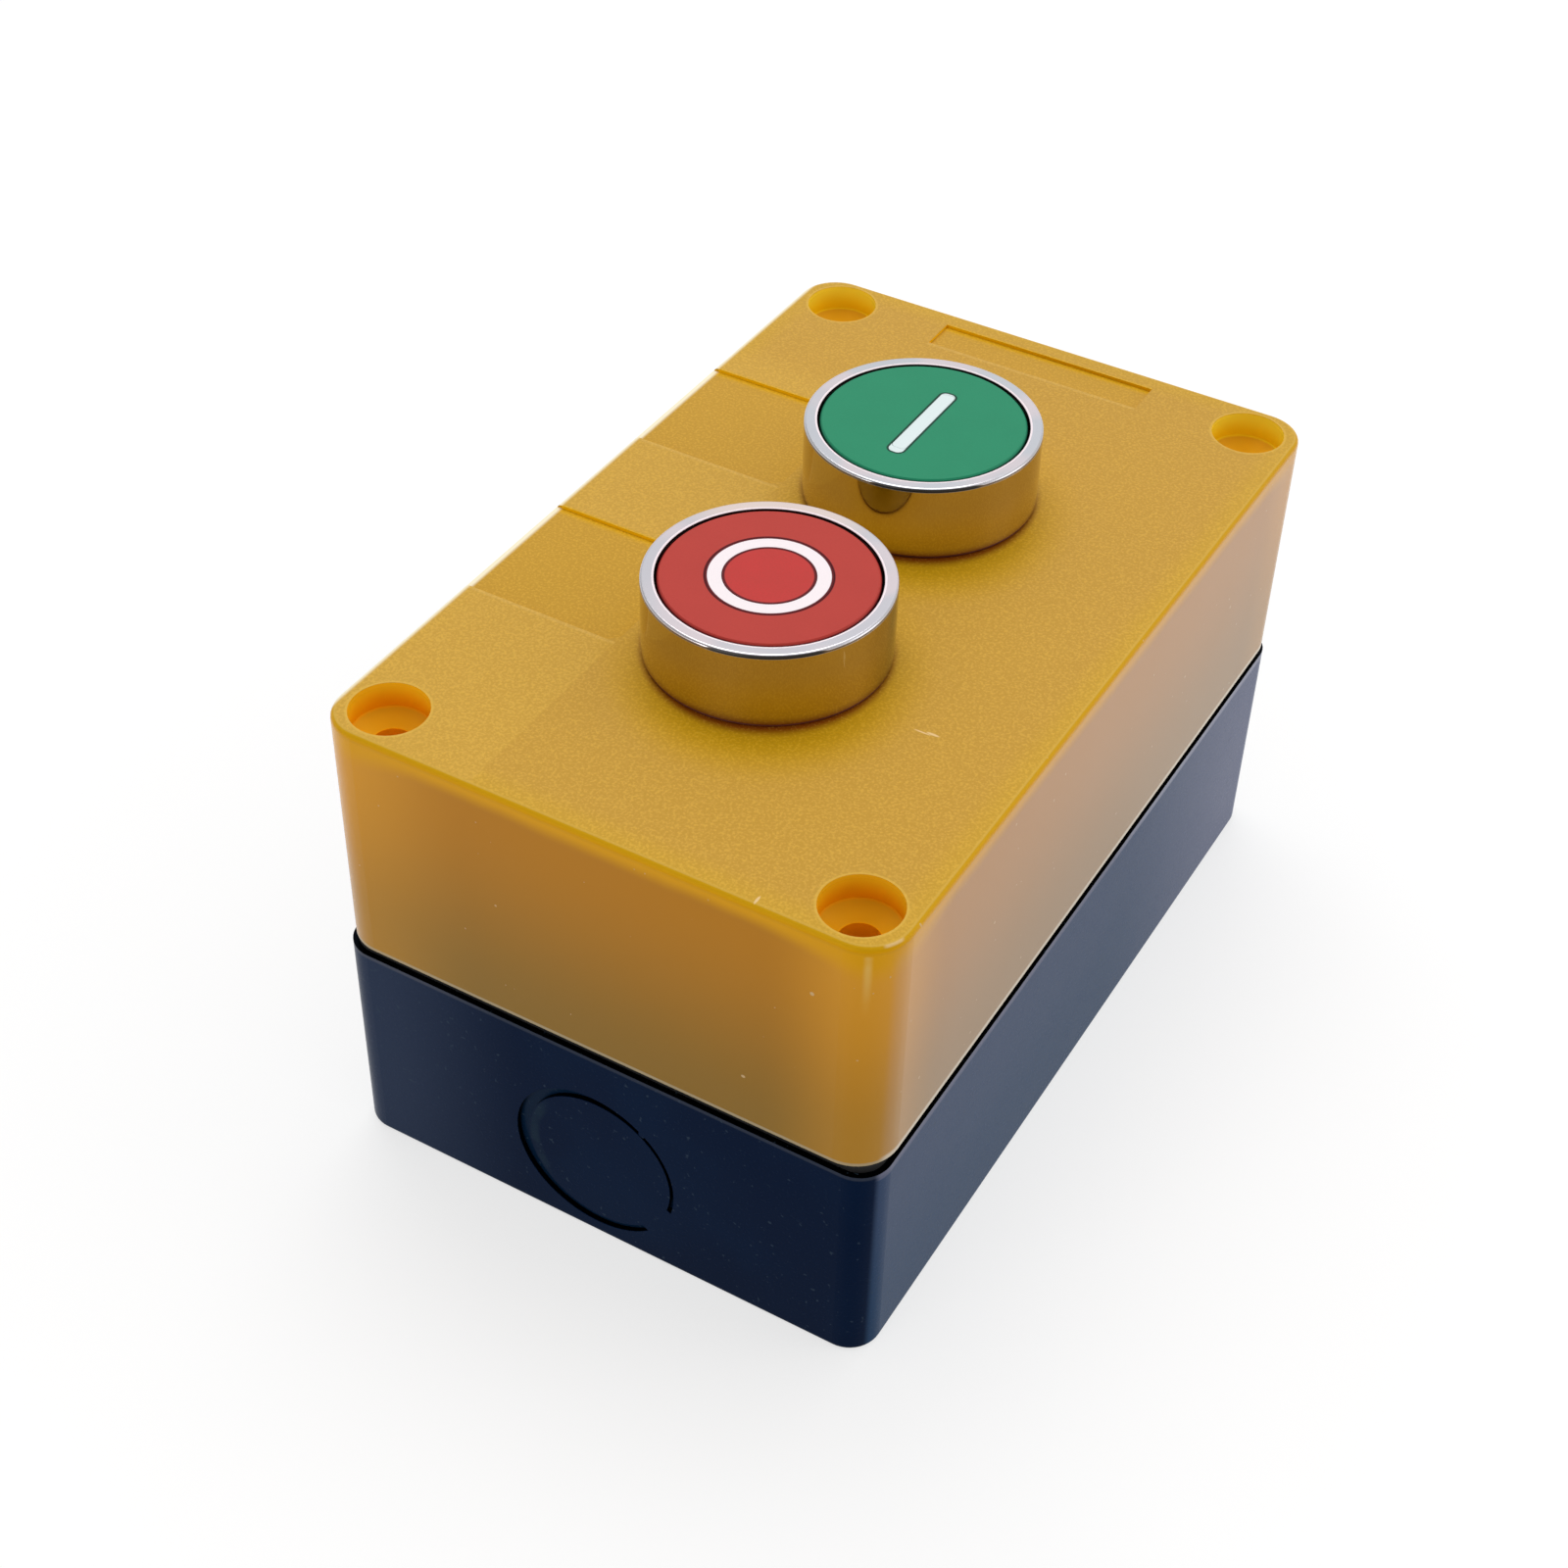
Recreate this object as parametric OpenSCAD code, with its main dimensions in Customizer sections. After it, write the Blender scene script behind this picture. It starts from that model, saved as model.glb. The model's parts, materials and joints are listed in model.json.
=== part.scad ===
// Two-button control station, lying on its back: +Z points out of the front, through the buttons.
// +X is the width and +Y the length; the origin is the middle of the back face.
// The stop button, with the ring symbol, is at -Y, and the start button, with the bar, at +Y.

/* [Enclosure] */
// Width of the enclosure
body_w = 68; // [64:0.5:80]
// Length of the enclosure
body_l = 107; // [102:0.5:125]
// Height of the base's outer wall
base_h = 29; // [28:0.5:34]
// Height of the cover
cover_h = 31.2; // [30:0.2:36]
// Height of the sealed joint between base and cover
joint_gap = 1.3; // [0.8:0.1:2]
// Side wall of both shells
wall_t = 2.6; // [2.4:0.1:3]
// Front plate of the cover
plate_t = 3; // [2.2:0.1:3.6]
// Floor of the base
floor_t = 2.6; // [2:0.1:3.4]
// Corner radius of the cover
cover_corner_r = 5; // [4.4:0.2:6]
// Corner radius of the base
base_corner_r = 3.8; // [3.2:0.2:4.4]
// Rounding of the outer edges
edge_r = 0.7; // [0.3:0.1:1]

/* [Joint] */
// Thickness of the base's lip inside the cover
lip_t = 1.1; // [0.9:0.1:1.2]
// How far the lip reaches up into the cover
lip_reach = 2.7; // [2:0.1:4]
// How far the sealing cord stands back from the outer faces
gasket_inset = 0.7; // [0.4:0.1:0.9]

/* [Cover screw holes] */
// Screw axis to the side face
screw_inset_x = 6; // [6:0.1:8]
// Screw axis to the end face
screw_inset_y = 5.5; // [5.4:0.1:8]
// Diameter of a screw well
well_d = 8.7; // [8:0.1:9]
// Straight depth of a screw well
well_depth = 3.1; // [2:0.1:5]
// Depth of the well's conical floor
well_cone = 1.4; // [0.6:0.1:2]
// Clearance hole for a cover screw
screw_hole_d = 4.4; // [4.2:0.1:5]
// Diameter of the screw towers
tower_d = 10; // [9.7:0.1:10.2]
// Pilot hole in a base tower
pilot_d = 3.4; // [3:0.1:3.8]
// Depth of a pilot hole
pilot_depth = 18; // [10:1:20]

/* [Label recesses] */
// Size of a side recess along the enclosure
label_l = 18; // [12:0.5:20]
// Distance between the two side recesses
label_pitch = 34.5; // [32:0.5:38]
// From a side recess to the bezel beside it
label_margin = 0.55; // [0.3:0.05:1.5]
// Depth of all the recesses
label_depth = 0.4; // [0.2:0.05:0.6]
// Length of the end recess across the enclosure
end_label_w = 28.4; // [20:0.2:30]
// Width of the end recess
end_label_l = 5; // [3:0.2:6]
// Middle of the end recess to the end face
end_label_inset = 5.3; // [4.4:0.1:7]

/* [Knockouts] */
// Diameter of the hole that a broken-out knockout leaves
knockout_d = 20.7; // [19:0.1:21]
// Diameter of the disc inside the tear groove
disc_d = 18.6; // [17.4:0.1:18.8]
// Height of the knockout's middle
knockout_z = 12.3; // [12.2:0.1:14]
// Depth of the tear groove
tear_depth = 0.7; // [0.4:0.1:0.8]
// Wall left in the knockout's disc
web_t = 1.2; // [1:0.1:1.6]
// Width of the bridge where the tear groove stops
tear_bridge_w = 5.6; // [3:0.2:7]

/* [Wall fixing] */
// Distance across between the fixing holes
mount_x = 44; // [40:0.5:48]
// Distance along between the fixing holes
mount_y = 80; // [72:0.5:86]
// Diameter of a fixing hole
mount_d = 4.5; // [4:0.1:5.5]
// Diameter of the pad around a fixing hole
mount_pad_d = 9; // [8:0.5:11]
// Height of the pad above the floor
mount_pad_h = 1.5; // [0.5:0.1:3]

/* [Bezels] */
// Distance between the two buttons
button_pitch = 34.6; // [32:0.2:37]
// Middle of the two buttons from the middle of the enclosure
button_shift = -0.9; // [-2:0.1:2]
// Hole in the cover for a button
panel_hole_d = 22.4; // [22.3:0.05:22.6]
// Outer diameter of a bezel
bezel_d = 27.3; // [26.4:0.1:29]
// Height of a bezel's top above the cover
bezel_h = 9.4; // [9:0.1:11]
// Width of the bright rim round the cap
rim_w = 1.5; // [1.3:0.05:1.8]
// Rounding of the bezel's upper edge
rim_r = 0.5; // [0.2:0.1:0.8]
// Diameter of the threaded barrel
barrel_d = 22.1; // [22:0.05:22.2]
// Length of the barrel below the bezel's head
barrel_l = 14.5; // [14.2:0.1:15]
// Wall of the barrel
barrel_t = 1.65; // [1.4:0.05:1.7]
// Thickness of the sealing washer under the bezel
seal_t = 0.5; // [0.3:0.1:0.8]
// Height of the castle nut behind the panel
nut_h = 4.5; // [3:0.1:4.8]
// Outer diameter of the castle nut
nut_d = 27; // [26:0.5:29]

/* [Caps and plungers] */
// Travel of a button
travel = 4; // [3.4:0.1:4.2]
// Gap between a cap and its bezel
cap_gap = 0.3; // [0.2:0.05:0.4]
// Thickness of a cap's top
cap_t = 1.6; // [1.2:0.1:2]
// Outer radius of the ring symbol
ring_r = 6.8; // [6:0.1:8]
// Width of the symbols' strokes
stroke_w = 1.75; // [1.2:0.05:2.2]
// Length of the bar symbol
bar_l = 12.6; // [9:0.2:15]
// Depth of the symbol inlays
inlay_t = 0.6; // [0.4:0.1:0.8]
// Diameter of the plunger's stem
stem_d = 8; // [7.4:0.1:8.6]
// Wire of the return spring
return_wire = 0.9; // [0.7:0.05:1]
// Turns of the return spring
return_turns = 7; // [5:1:8]

/* [Carriers] */
// Side of the square carrier
carrier_w = 30; // [29.4:0.1:31]
// Height of the carrier's clamping ring
carrier_ring_h = 5; // [4:0.1:5.2]
// Height of the carrier's foot below the barrel
carrier_foot_h = 5.5; // [5.5:0.1:7]
// Diameter of the clamping screw
clamp_screw_d = 3; // [2.5:0.1:3.5]

/* [Contact blocks] */
// Width of a contact block
block_w = 11; // [10.6:0.1:13]
// Side wall of a contact block
block_t = 1.5; // [1.2:0.1:1.8]
// Width of the contact plunger
slide_w = 6; // [5.8:0.1:6.2]
// Thickness of the fixed contact strips
strip_t = 1; // [0.8:0.05:1.2]
// Thickness of the moving bridge
bridge_t = 0.8; // [0.6:0.05:1]
// Distance from the middle to a contact tip
tip_x = 7.5; // [7:0.1:8.5]
// Diameter of a contact tip
tip_d = 2.8; // [2.4:0.1:3.4]
// Height of a contact tip
tip_h = 0.7; // [0.5:0.05:0.9]
// Height of the block's solid top
block_top_h = 5; // [4.6:0.1:6]
// Height of the contact chamber
chamber_h = 11; // [10.4:0.1:12]
// Height of the terminal pockets
pocket_h = 7; // [6.8:0.1:8]
// Thickness of the block's floors and end walls
block_floor_t = 1.5; // [1.2:0.1:1.8]
// Wall between the plunger and a terminal pocket
block_core_t = 2.7; // [2.2:0.1:3]
// Room for a wire under a terminal
wire_room = 1.8; // [1.4:0.1:2]
// Diameter of a terminal screw
terminal_screw_d = 3.4; // [3:0.1:3.5]
// Diameter of a terminal screw's head
terminal_head_d = 5.8; // [5.2:0.1:6]

/* [Hidden] */
$fn = 64;
// Extra length of a cutting shape past the face that it opens
over = 1;

// Clearances
seat_gap = 0.05;
lip_gap = 0.1;
tower_gap = 0.2;
run_gap = 0.08;
slide_gap = 0.3;
guide_gap = 0.25;

// Levels of the enclosure
cover_z = base_h + joint_gap;
body_h = cover_z + cover_h;
plate_z = body_h - plate_t;
lip_z = cover_z + lip_reach;
skirt_t = wall_t - lip_t - lip_gap;
screw_x = body_w / 2 - screw_inset_x;
screw_y = body_l / 2 - screw_inset_y;
stop_y = button_shift - button_pitch / 2;
start_y = button_shift + button_pitch / 2;

// Levels and radii of a button, from the top down
cap_z = body_h + bezel_h;
head_z = body_h + seal_t;
head_floor_t = 1.2;
head_floor_z = head_z + head_floor_t;
head_bore_r = bezel_d / 2 - rim_w;
cap_r = head_bore_r - cap_gap;
cap_low_z = head_floor_z + travel + 0.2;
cap_skirt_t = 1.3;
cap_edge = 0.25;
hub_t = 1.5;
barrel_r = barrel_d / 2;
barrel_bore_r = barrel_r - barrel_t;
barrel_z = head_z - barrel_l;
flange_t = 1.2;
spring_seat_z = barrel_z + flange_t;
key_w = 3;
key_h = 1;
key_l = plate_t + seal_t;
wiper_h = 1.4;
wiper_rise = 1.8;
wiper_z = head_floor_z + wiper_rise;
wiper_depth = 0.7;
nut_z = plate_z - nut_h;
nut_notch_w = 3.2;
nut_notch_depth = 1.4;

// The plunger
boss_r = 6;
plunger_r = barrel_bore_r - run_gap;
plunger_z = cap_low_z - 0.4;
plunger_plate_t = 3;
plunger_skirt_t = 0.9;
plunger_skirt_h = 8;
rib_w = 2;
rib_h = 0.6;
spring_top_z = plunger_z - plunger_plate_t;
stem_r = stem_d / 2;
clip_t = 0.8;
clip_z = barrel_z - 0.1 - clip_t;
clip_lip = 2;
clip_r = stem_r + clip_lip;
clip_groove = 0.6;
clip_shoulder = 0.5;
tip_stem_r = slide_w / 2 - 0.2;
return_mean_r = (stem_r + plunger_r - plunger_skirt_t) / 2;

// The carrier
carrier_z = barrel_z - carrier_foot_h;
carrier_top_z = barrel_z + carrier_ring_h;
carrier_corner_r = 3;
carrier_bore_r = clip_r + 0.6;
clamp_z = barrel_z + carrier_ring_h / 2;
clamp_head_h = 1.8;
hook_w = 4.6;
hook_x = (carrier_w - hook_w) / 2;
hook_t = 1.2;
hook_ledge = 2.5;
hook_barb = 0.8;
hook_h = 3.7;

// The contact block, from its top face down
block_l = carrier_w;
block_z = carrier_z;
chamber_z = block_z - block_top_h;
divider_z = chamber_z - chamber_h;
divider_t = block_floor_t;
pocket_z = divider_z - divider_t - pocket_h;
block_low_z = pocket_z - block_floor_t;
slide_channel_r = slide_w / 2 + slide_gap;
pocket_x = slide_channel_r + block_core_t;
chamber_x = block_l / 2 - block_floor_t;
leg_x = chamber_x - 0.2;
slot_x = leg_x - strip_t - 0.2;
inner_y = block_w / 2 - block_t;
slide_y = inner_y - slide_gap;
slide_top_z = block_z + 1;
slide_low_z = divider_z - divider_t;
window_y = slide_y - 1.1;
window_h = 4;
bridge_l = 2 * tip_x + tip_d + 0.4;
bridge_y = window_y - guide_gap;
arm_x = tip_x - tip_d / 2 - 0.6;
terminal_t = 1.2;
terminal_x = pocket_x + 1;
terminal_screw_x = (terminal_x + leg_x) / 2 + 0.3;
terminal_head_h = 2.3;
terminal_head_z = pocket_z + 0.1;
washer_t = 1;
washer_z = terminal_head_z + terminal_head_h;
terminal_z = washer_z + washer_t + wire_room;
driver_hole_d = 4.4;
peg_r = 0.9;
peg_l = 3;
peg_x = (slide_channel_r + block_l / 2) / 2;
peg_z = (chamber_z + block_z) / 2;
pressure_wire = 0.4;
block_wire = 0.5;

// Contact levels: the open pair meets at full travel, and the closed pair is together at rest
open_strip_z = divider_z;
open_bridge_z = open_strip_z + strip_t + 2 * tip_h + travel + 0.1;
closed_bridge_z = divider_z + travel + 0.4;
closed_strip_z = closed_bridge_z + bridge_t + 2 * tip_h + seat_gap;
stop_window_z = closed_bridge_z + bridge_t - window_h;
start_window_z = open_bridge_z;

// Outlines in the plane

module rounded_rect(w, l, r) {
    square([w, l - 2 * r], center = true);
    square([w - 2 * r, l], center = true);
    for (x = [-1, 1], y = [-1, 1])
        translate([x * (w / 2 - r), y * (l / 2 - r)])
            circle(r);
}

// The enclosure's outline, standing back from the outer faces by an inset
module body_outline(inset, corner_r) {
    rounded_rect(body_w - 2 * inset, body_l - 2 * inset, corner_r - inset);
}

// Solids that several parts share

module slab(z0, z1) {
    translate([0, 0, z0])
        linear_extrude(z1 - z0)
            children();
}

// A block with upright rounded corners and one rounded edge all round its top
module soft_block(w, l, h, corner_r, round_r) {
    module half_round() {
        square([corner_r, h - round_r]);
        square([corner_r - round_r, h]);
        translate([corner_r - round_r, h - round_r])
            circle(round_r);
    }
    module wall_profile(width) {
        translate([-width / 2, 0])
            square([width, h - round_r]);
        translate([round_r - width / 2, 0])
            square([width - 2 * round_r, h]);
        for (side = [-1, 1])
            translate([side * (width / 2 - round_r), h - round_r])
                circle(round_r);
    }
    translate([0, l / 2 - corner_r, 0])
        rotate([90, 0, 0])
            linear_extrude(l - 2 * corner_r)
                wall_profile(w);
    translate([corner_r - w / 2, 0, 0])
        rotate([90, 0, 90])
            linear_extrude(w - 2 * corner_r)
                wall_profile(l);
    for (x = [-1, 1], y = [-1, 1])
        translate([x * (w / 2 - corner_r), y * (l / 2 - corner_r), 0])
            rotate_extrude()
                half_round();
}

module at_screws() {
    for (x = [-1, 1], y = [-1, 1])
        translate([x * screw_x, y * screw_y, 0])
            children();
}

module at_mounts() {
    for (x = [-1, 1], y = [-1, 1])
        translate([x * mount_x / 2, y * mount_y / 2, 0])
            children();
}

module tube(outer_r, inner_r, z0, z1) {
    translate([0, 0, z0])
        difference() {
            cylinder(r = outer_r, h = z1 - z0);
            translate([0, 0, -over])
                cylinder(r = inner_r, h = z1 - z0 + 2 * over);
        }
}

// A side profile in X and Z, made as thick as the given half width in Y
module profile_bar(half_y) {
    rotate([90, 0, 0])
        linear_extrude(2 * half_y, center = true)
            children();
}

// The same profile between two levels in Y
module profile_plate(y0, y1) {
    translate([0, y1, 0])
        rotate([90, 0, 0])
            linear_extrude(y1 - y0)
                children();
}

// Height of a spring's wire along its turns: one closed turn at each end, and even turns between
function coil_rise(turn, turns, rise, closed_pitch) =
    turn < 1 ? turn * closed_pitch :
    turn > turns - 1 ? rise - (turns - turn) * closed_pitch :
    closed_pitch + (turn - 1) * (rise - 2 * closed_pitch) / (turns - 2);

// A coil spring that fills the height from z0 to z1
module coil(mean_r, wire, turns, z0, z1, steps) {
    sides = 6;
    rings = turns * steps;
    rise = z1 - z0 - wire;
    points = [
        for (i = [0 : rings])
            for (j = [0 : sides - 1])
                let (
                    a = 360 * i / steps,
                    b = 360 * j / sides,
                    r = mean_r + wire / 2 * cos(b),
                    z = z0 + wire / 2 + coil_rise(i / steps, turns, rise, wire * 1.06) + wire / 2 * sin(b)
                )
                [r * cos(a), r * sin(a), z]
    ];
    walls = [
        for (i = [0 : rings - 1])
            for (j = [0 : sides - 1])
                let (k = (j + 1) % sides)
                [i * sides + j, (i + 1) * sides + j, (i + 1) * sides + k, i * sides + k]
    ];
    start_cap = [[for (j = [0 : sides - 1]) j]];
    end_cap = [[for (j = [sides - 1 : -1 : 0]) rings * sides + j]];
    polyhedron(points, concat(walls, start_cap, end_cap));
}

// The enclosure

module base() {
    color([0.12, 0.17, 0.23])
        difference() {
            union() {
                difference() {
                    union() {
                        translate([0, 0, base_h])
                            mirror([0, 0, 1])
                                soft_block(body_w, body_l, base_h, base_corner_r, edge_r);
                        slab(base_h - over, lip_z)
                            body_outline(skirt_t + lip_gap, cover_corner_r);
                    }
                    slab(floor_t, lip_z + over)
                        body_outline(wall_t, cover_corner_r);
                }
                intersection() {
                    at_screws()
                        translate([0, 0, floor_t - over])
                            cylinder(d = tower_d, h = lip_z - floor_t + over);
                    slab(0, lip_z + over)
                        body_outline(skirt_t + lip_gap, cover_corner_r);
                }
                at_mounts()
                    translate([0, 0, floor_t - over])
                        cylinder(d = mount_pad_d, h = mount_pad_h + over);
            }
            at_screws()
                translate([0, 0, lip_z - pilot_depth])
                    cylinder(d = pilot_d, h = pilot_depth + over);
            at_mounts()
                translate([0, 0, -over])
                    cylinder(d = mount_d, h = floor_t + mount_pad_h + 2 * over);
            knockout();
            rotate([0, 0, 180])
                knockout();
        }
}

// Cuts of a cable knockout in the end wall at -Y: an uneven tear groove that stops at a bridge,
// with a nib in its outer wall, and the wall made thinner from inside
module knockout() {
    groove_x = -0.5;
    disc_shift = 0.55;
    disc_rise = 0.2;
    bridge_angle = -32;
    nib_angle = 52;
    nib_r = 0.45;
    pocket_r = knockout_d / 2 + 0.4;
    translate([groove_x, -body_l / 2, knockout_z])
        rotate([90, 0, 0]) {
            difference() {
                translate([0, 0, -tear_depth])
                    cylinder(d = knockout_d, h = tear_depth + over);
                translate([disc_shift, disc_rise, -wall_t])
                    cylinder(d = disc_d, h = 2 * wall_t);
                rotate([0, 0, bridge_angle])
                    translate([0, -tear_bridge_w / 2, -wall_t])
                        cube([knockout_d, tear_bridge_w, 2 * wall_t]);
                rotate([0, 0, nib_angle])
                    translate([knockout_d / 2, 0, -wall_t])
                        cylinder(r = nib_r, h = 2 * wall_t);
            }
            intersection() {
                translate([0, 0, -wall_t - over])
                    cylinder(r = pocket_r, h = wall_t + over - web_t);
                translate([-pocket_r, floor_t - knockout_z, -2 * wall_t])
                    cube([2 * pocket_r, 2 * pocket_r, 2 * wall_t]);
            }
        }
}

module cover() {
    color([0.85, 0.62, 0.14])
        difference() {
            union() {
                difference() {
                    translate([0, 0, cover_z])
                        soft_block(body_w, body_l, cover_h, cover_corner_r, edge_r);
                    slab(cover_z - over, plate_z)
                        body_outline(wall_t, cover_corner_r);
                    slab(cover_z - over, lip_z + tower_gap)
                        body_outline(skirt_t, cover_corner_r);
                }
                at_screws()
                    translate([0, 0, lip_z + tower_gap])
                        cylinder(d = tower_d, h = plate_z + plate_t / 2 - lip_z - tower_gap);
            }
            at_screws()
                screw_well();
            for (y = [stop_y, start_y])
                translate([0, y, 0])
                    panel_hole();
            for (side = [-1, 1])
                translate([0, side * label_pitch / 2, 0])
                    side_label();
            end_label();
        }
}

module screw_well() {
    translate([0, 0, body_h - well_depth])
        cylinder(d = well_d, h = well_depth + over);
    translate([0, 0, body_h - well_depth - well_cone])
        cylinder(d1 = screw_hole_d, d2 = well_d, h = well_cone);
    translate([0, 0, cover_z])
        cylinder(d = screw_hole_d, h = cover_h - well_depth);
}

// Round hole with a keyway on its upper side
module panel_hole() {
    translate([0, 0, plate_z - over])
        cylinder(d = panel_hole_d, h = plate_t + 2 * over);
    translate([-key_w / 2 - guide_gap, 0, plate_z - over])
        cube([key_w + 2 * guide_gap, panel_hole_d / 2 + key_h, plate_t + 2 * over]);
}

// Shallow recess from the left edge to the bezel, with one corner cut off
module side_label() {
    corner = 1.1;
    inner_x = -bezel_d / 2 - label_margin;
    outer_x = -body_w / 2 - over;
    low = -label_l / 2;
    slab(body_h - label_depth, body_h + over)
        polygon([
            [outer_x, low], [inner_x - corner, low], [inner_x, low + corner],
            [inner_x, -low], [outer_x, -low]
        ]);
}

module end_label() {
    translate([-end_label_w / 2, body_l / 2 - end_label_inset - end_label_l / 2, body_h - label_depth])
        cube([end_label_w, end_label_l, label_depth + over]);
}

module cover_gasket() {
    color([0.04, 0.04, 0.05])
        slab(base_h, cover_z)
            difference() {
                body_outline(gasket_inset, base_corner_r);
                body_outline(skirt_t + lip_gap - seat_gap, cover_corner_r);
            }
}

// The button heads

module bezel(y) {
    color([0.82, 0.83, 0.85])
        translate([0, y, 0]) {
            difference() {
                rotate_extrude()
                    bezel_profile();
                tube(head_bore_r + wiper_depth, head_bore_r - over, wiper_z, wiper_z + wiper_h);
                translate([-rib_w / 2 - guide_gap, -barrel_bore_r - rib_h - guide_gap, spring_seat_z])
                    cube([rib_w + 2 * guide_gap, barrel_bore_r, barrel_l]);
            }
            translate([-key_w / 2, barrel_r - over, head_z - key_l])
                cube([key_w, key_h + over - guide_gap, key_l + head_floor_t / 2]);
        }
}

module bezel_profile() {
    foot_r = 0.3;
    difference() {
        union() {
            translate([0, head_z])
                square([bezel_d / 2 - rim_r, cap_z - head_z]);
            translate([0, head_z + foot_r])
                square([bezel_d / 2, cap_z - head_z - rim_r - foot_r]);
            translate([bezel_d / 2 - rim_r, cap_z - rim_r])
                circle(rim_r);
            translate([0, barrel_z])
                square([barrel_r, barrel_l + head_floor_t / 2]);
        }
        translate([-over, head_floor_z])
            square([head_bore_r + over, cap_z]);
        translate([-over, spring_seat_z])
            square([barrel_bore_r + over, barrel_l]);
        translate([-over, barrel_z - over])
            square([stem_r + slide_gap + over, barrel_l]);
    }
}

module panel_seal(y) {
    color([0.05, 0.05, 0.06])
        translate([0, y, 0])
            difference() {
                tube(bezel_d / 2 - 0.2, barrel_r + run_gap, body_h, head_z);
                translate([-key_w / 2 - guide_gap, 0, body_h - over])
                    cube([key_w + 2 * guide_gap, barrel_r + key_h, seal_t + 2 * over]);
            }
}

module wiper_ring(y) {
    color([0.05, 0.05, 0.06])
        translate([0, y, 0])
            tube(head_bore_r + wiper_depth - seat_gap, cap_r + run_gap, wiper_z, wiper_z + wiper_h);
}

module ring_nut(y) {
    notches = 6;
    color([0.72, 0.72, 0.7])
        translate([0, y, 0])
            difference() {
                tube(nut_d / 2, barrel_r + seat_gap, nut_z, plate_z);
                for (i = [0 : notches - 1])
                    rotate([0, 0, 360 / notches * (i + 0.5)])
                        translate([nut_d / 2 - nut_notch_depth, -nut_notch_w / 2, nut_z - over])
                            cube([nut_notch_depth + over, nut_notch_w, nut_h + 2 * over]);
            }
}

module cap_blank() {
    rotate_extrude()
        difference() {
            polygon([
                [0, cap_low_z], [cap_r, cap_low_z], [cap_r, cap_z - cap_edge],
                [cap_r - cap_edge, cap_z], [0, cap_z]
            ]);
            translate([boss_r + hub_t, cap_low_z - over])
                square([cap_r - cap_skirt_t - boss_r - hub_t, cap_z - cap_t - cap_low_z + over]);
            translate([-over, cap_low_z - over])
                square([boss_r + seat_gap + over, cap_z - cap_t - cap_low_z + over]);
        }
}

module stop_cap() {
    color([0.76, 0.2, 0.2])
        translate([0, stop_y, 0])
            difference() {
                cap_blank();
                tube(ring_r + seat_gap, ring_r - stroke_w - seat_gap, cap_z - inlay_t, cap_z + over);
            }
}

module start_cap() {
    color([0.14, 0.56, 0.4])
        translate([0, start_y, 0])
            difference() {
                cap_blank();
                slab(cap_z - inlay_t, cap_z + over)
                    rounded_rect(stroke_w + 2 * seat_gap, bar_l + 2 * seat_gap, stroke_w / 3 + seat_gap);
            }
}

module stop_symbol() {
    color("white")
        translate([0, stop_y, 0])
            tube(ring_r, ring_r - stroke_w, cap_z - inlay_t, cap_z);
}

module start_symbol() {
    color("white")
        translate([0, start_y, 0])
            slab(cap_z - inlay_t, cap_z)
                rounded_rect(stroke_w, bar_l, stroke_w / 3);
}

// Guide plate and skirt that run in the barrel, with the stem that reaches the contact block
// A rib on the skirt keeps the cap's symbol upright
module plunger(y) {
    skirt_r = plunger_r - plunger_skirt_t;
    groove_r = stem_r - clip_groove;
    color([0.9, 0.9, 0.86])
        translate([0, y, 0]) {
            translate([-rib_w / 2, -plunger_r - rib_h, spring_top_z - plunger_skirt_h])
                cube([rib_w, rib_h + plunger_skirt_t / 2, plunger_skirt_h + plunger_plate_t]);
            rotate_extrude()
                polygon([
                    [0, slide_top_z], [tip_stem_r, slide_top_z], [tip_stem_r, clip_z - clip_shoulder],
                    [stem_r, clip_z - clip_shoulder], [stem_r, clip_z], [groove_r, clip_z],
                    [groove_r, clip_z + clip_t], [stem_r, clip_z + clip_t], [stem_r, spring_top_z],
                    [skirt_r, spring_top_z], [skirt_r, spring_top_z - plunger_skirt_h],
                    [plunger_r, spring_top_z - plunger_skirt_h], [plunger_r, plunger_z],
                    [boss_r, plunger_z], [boss_r, cap_z - cap_t], [0, cap_z - cap_t]
                ]);
        }
}

module retaining_clip(y) {
    mouth = 3;
    color([0.6, 0.6, 0.6])
        translate([0, y, 0])
            difference() {
                tube(clip_r, stem_r - clip_groove + seat_gap, clip_z, clip_z + clip_t);
                translate([-mouth / 2, 0, clip_z - over])
                    cube([mouth, clip_r + over, clip_t + 2 * over]);
            }
}

module return_spring(y) {
    color([0.7, 0.7, 0.72])
        translate([0, y, 0])
            coil(return_mean_r, return_wire, return_turns, spring_seat_z, spring_top_z, 16);
}

// The carriers, which clamp on the barrels and hold the contact blocks

module carrier(y) {
    color([0.16, 0.17, 0.18])
        translate([0, y, 0])
            difference() {
                slab(carrier_z, carrier_top_z)
                    rounded_rect(carrier_w, carrier_w, carrier_corner_r);
                translate([0, 0, barrel_z])
                    cylinder(r = barrel_r + seat_gap, h = carrier_ring_h + over);
                translate([0, 0, carrier_z - over])
                    cylinder(r = carrier_bore_r, h = carrier_foot_h + 2 * over);
                for (side = [0, 1])
                    mirror([side, 0, 0])
                        hook_slot();
                translate([0, 0, clamp_z])
                    rotate([0, 90, 0])
                        cylinder(d = clamp_screw_d + 2 * seat_gap, h = carrier_w);
            }
}

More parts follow.
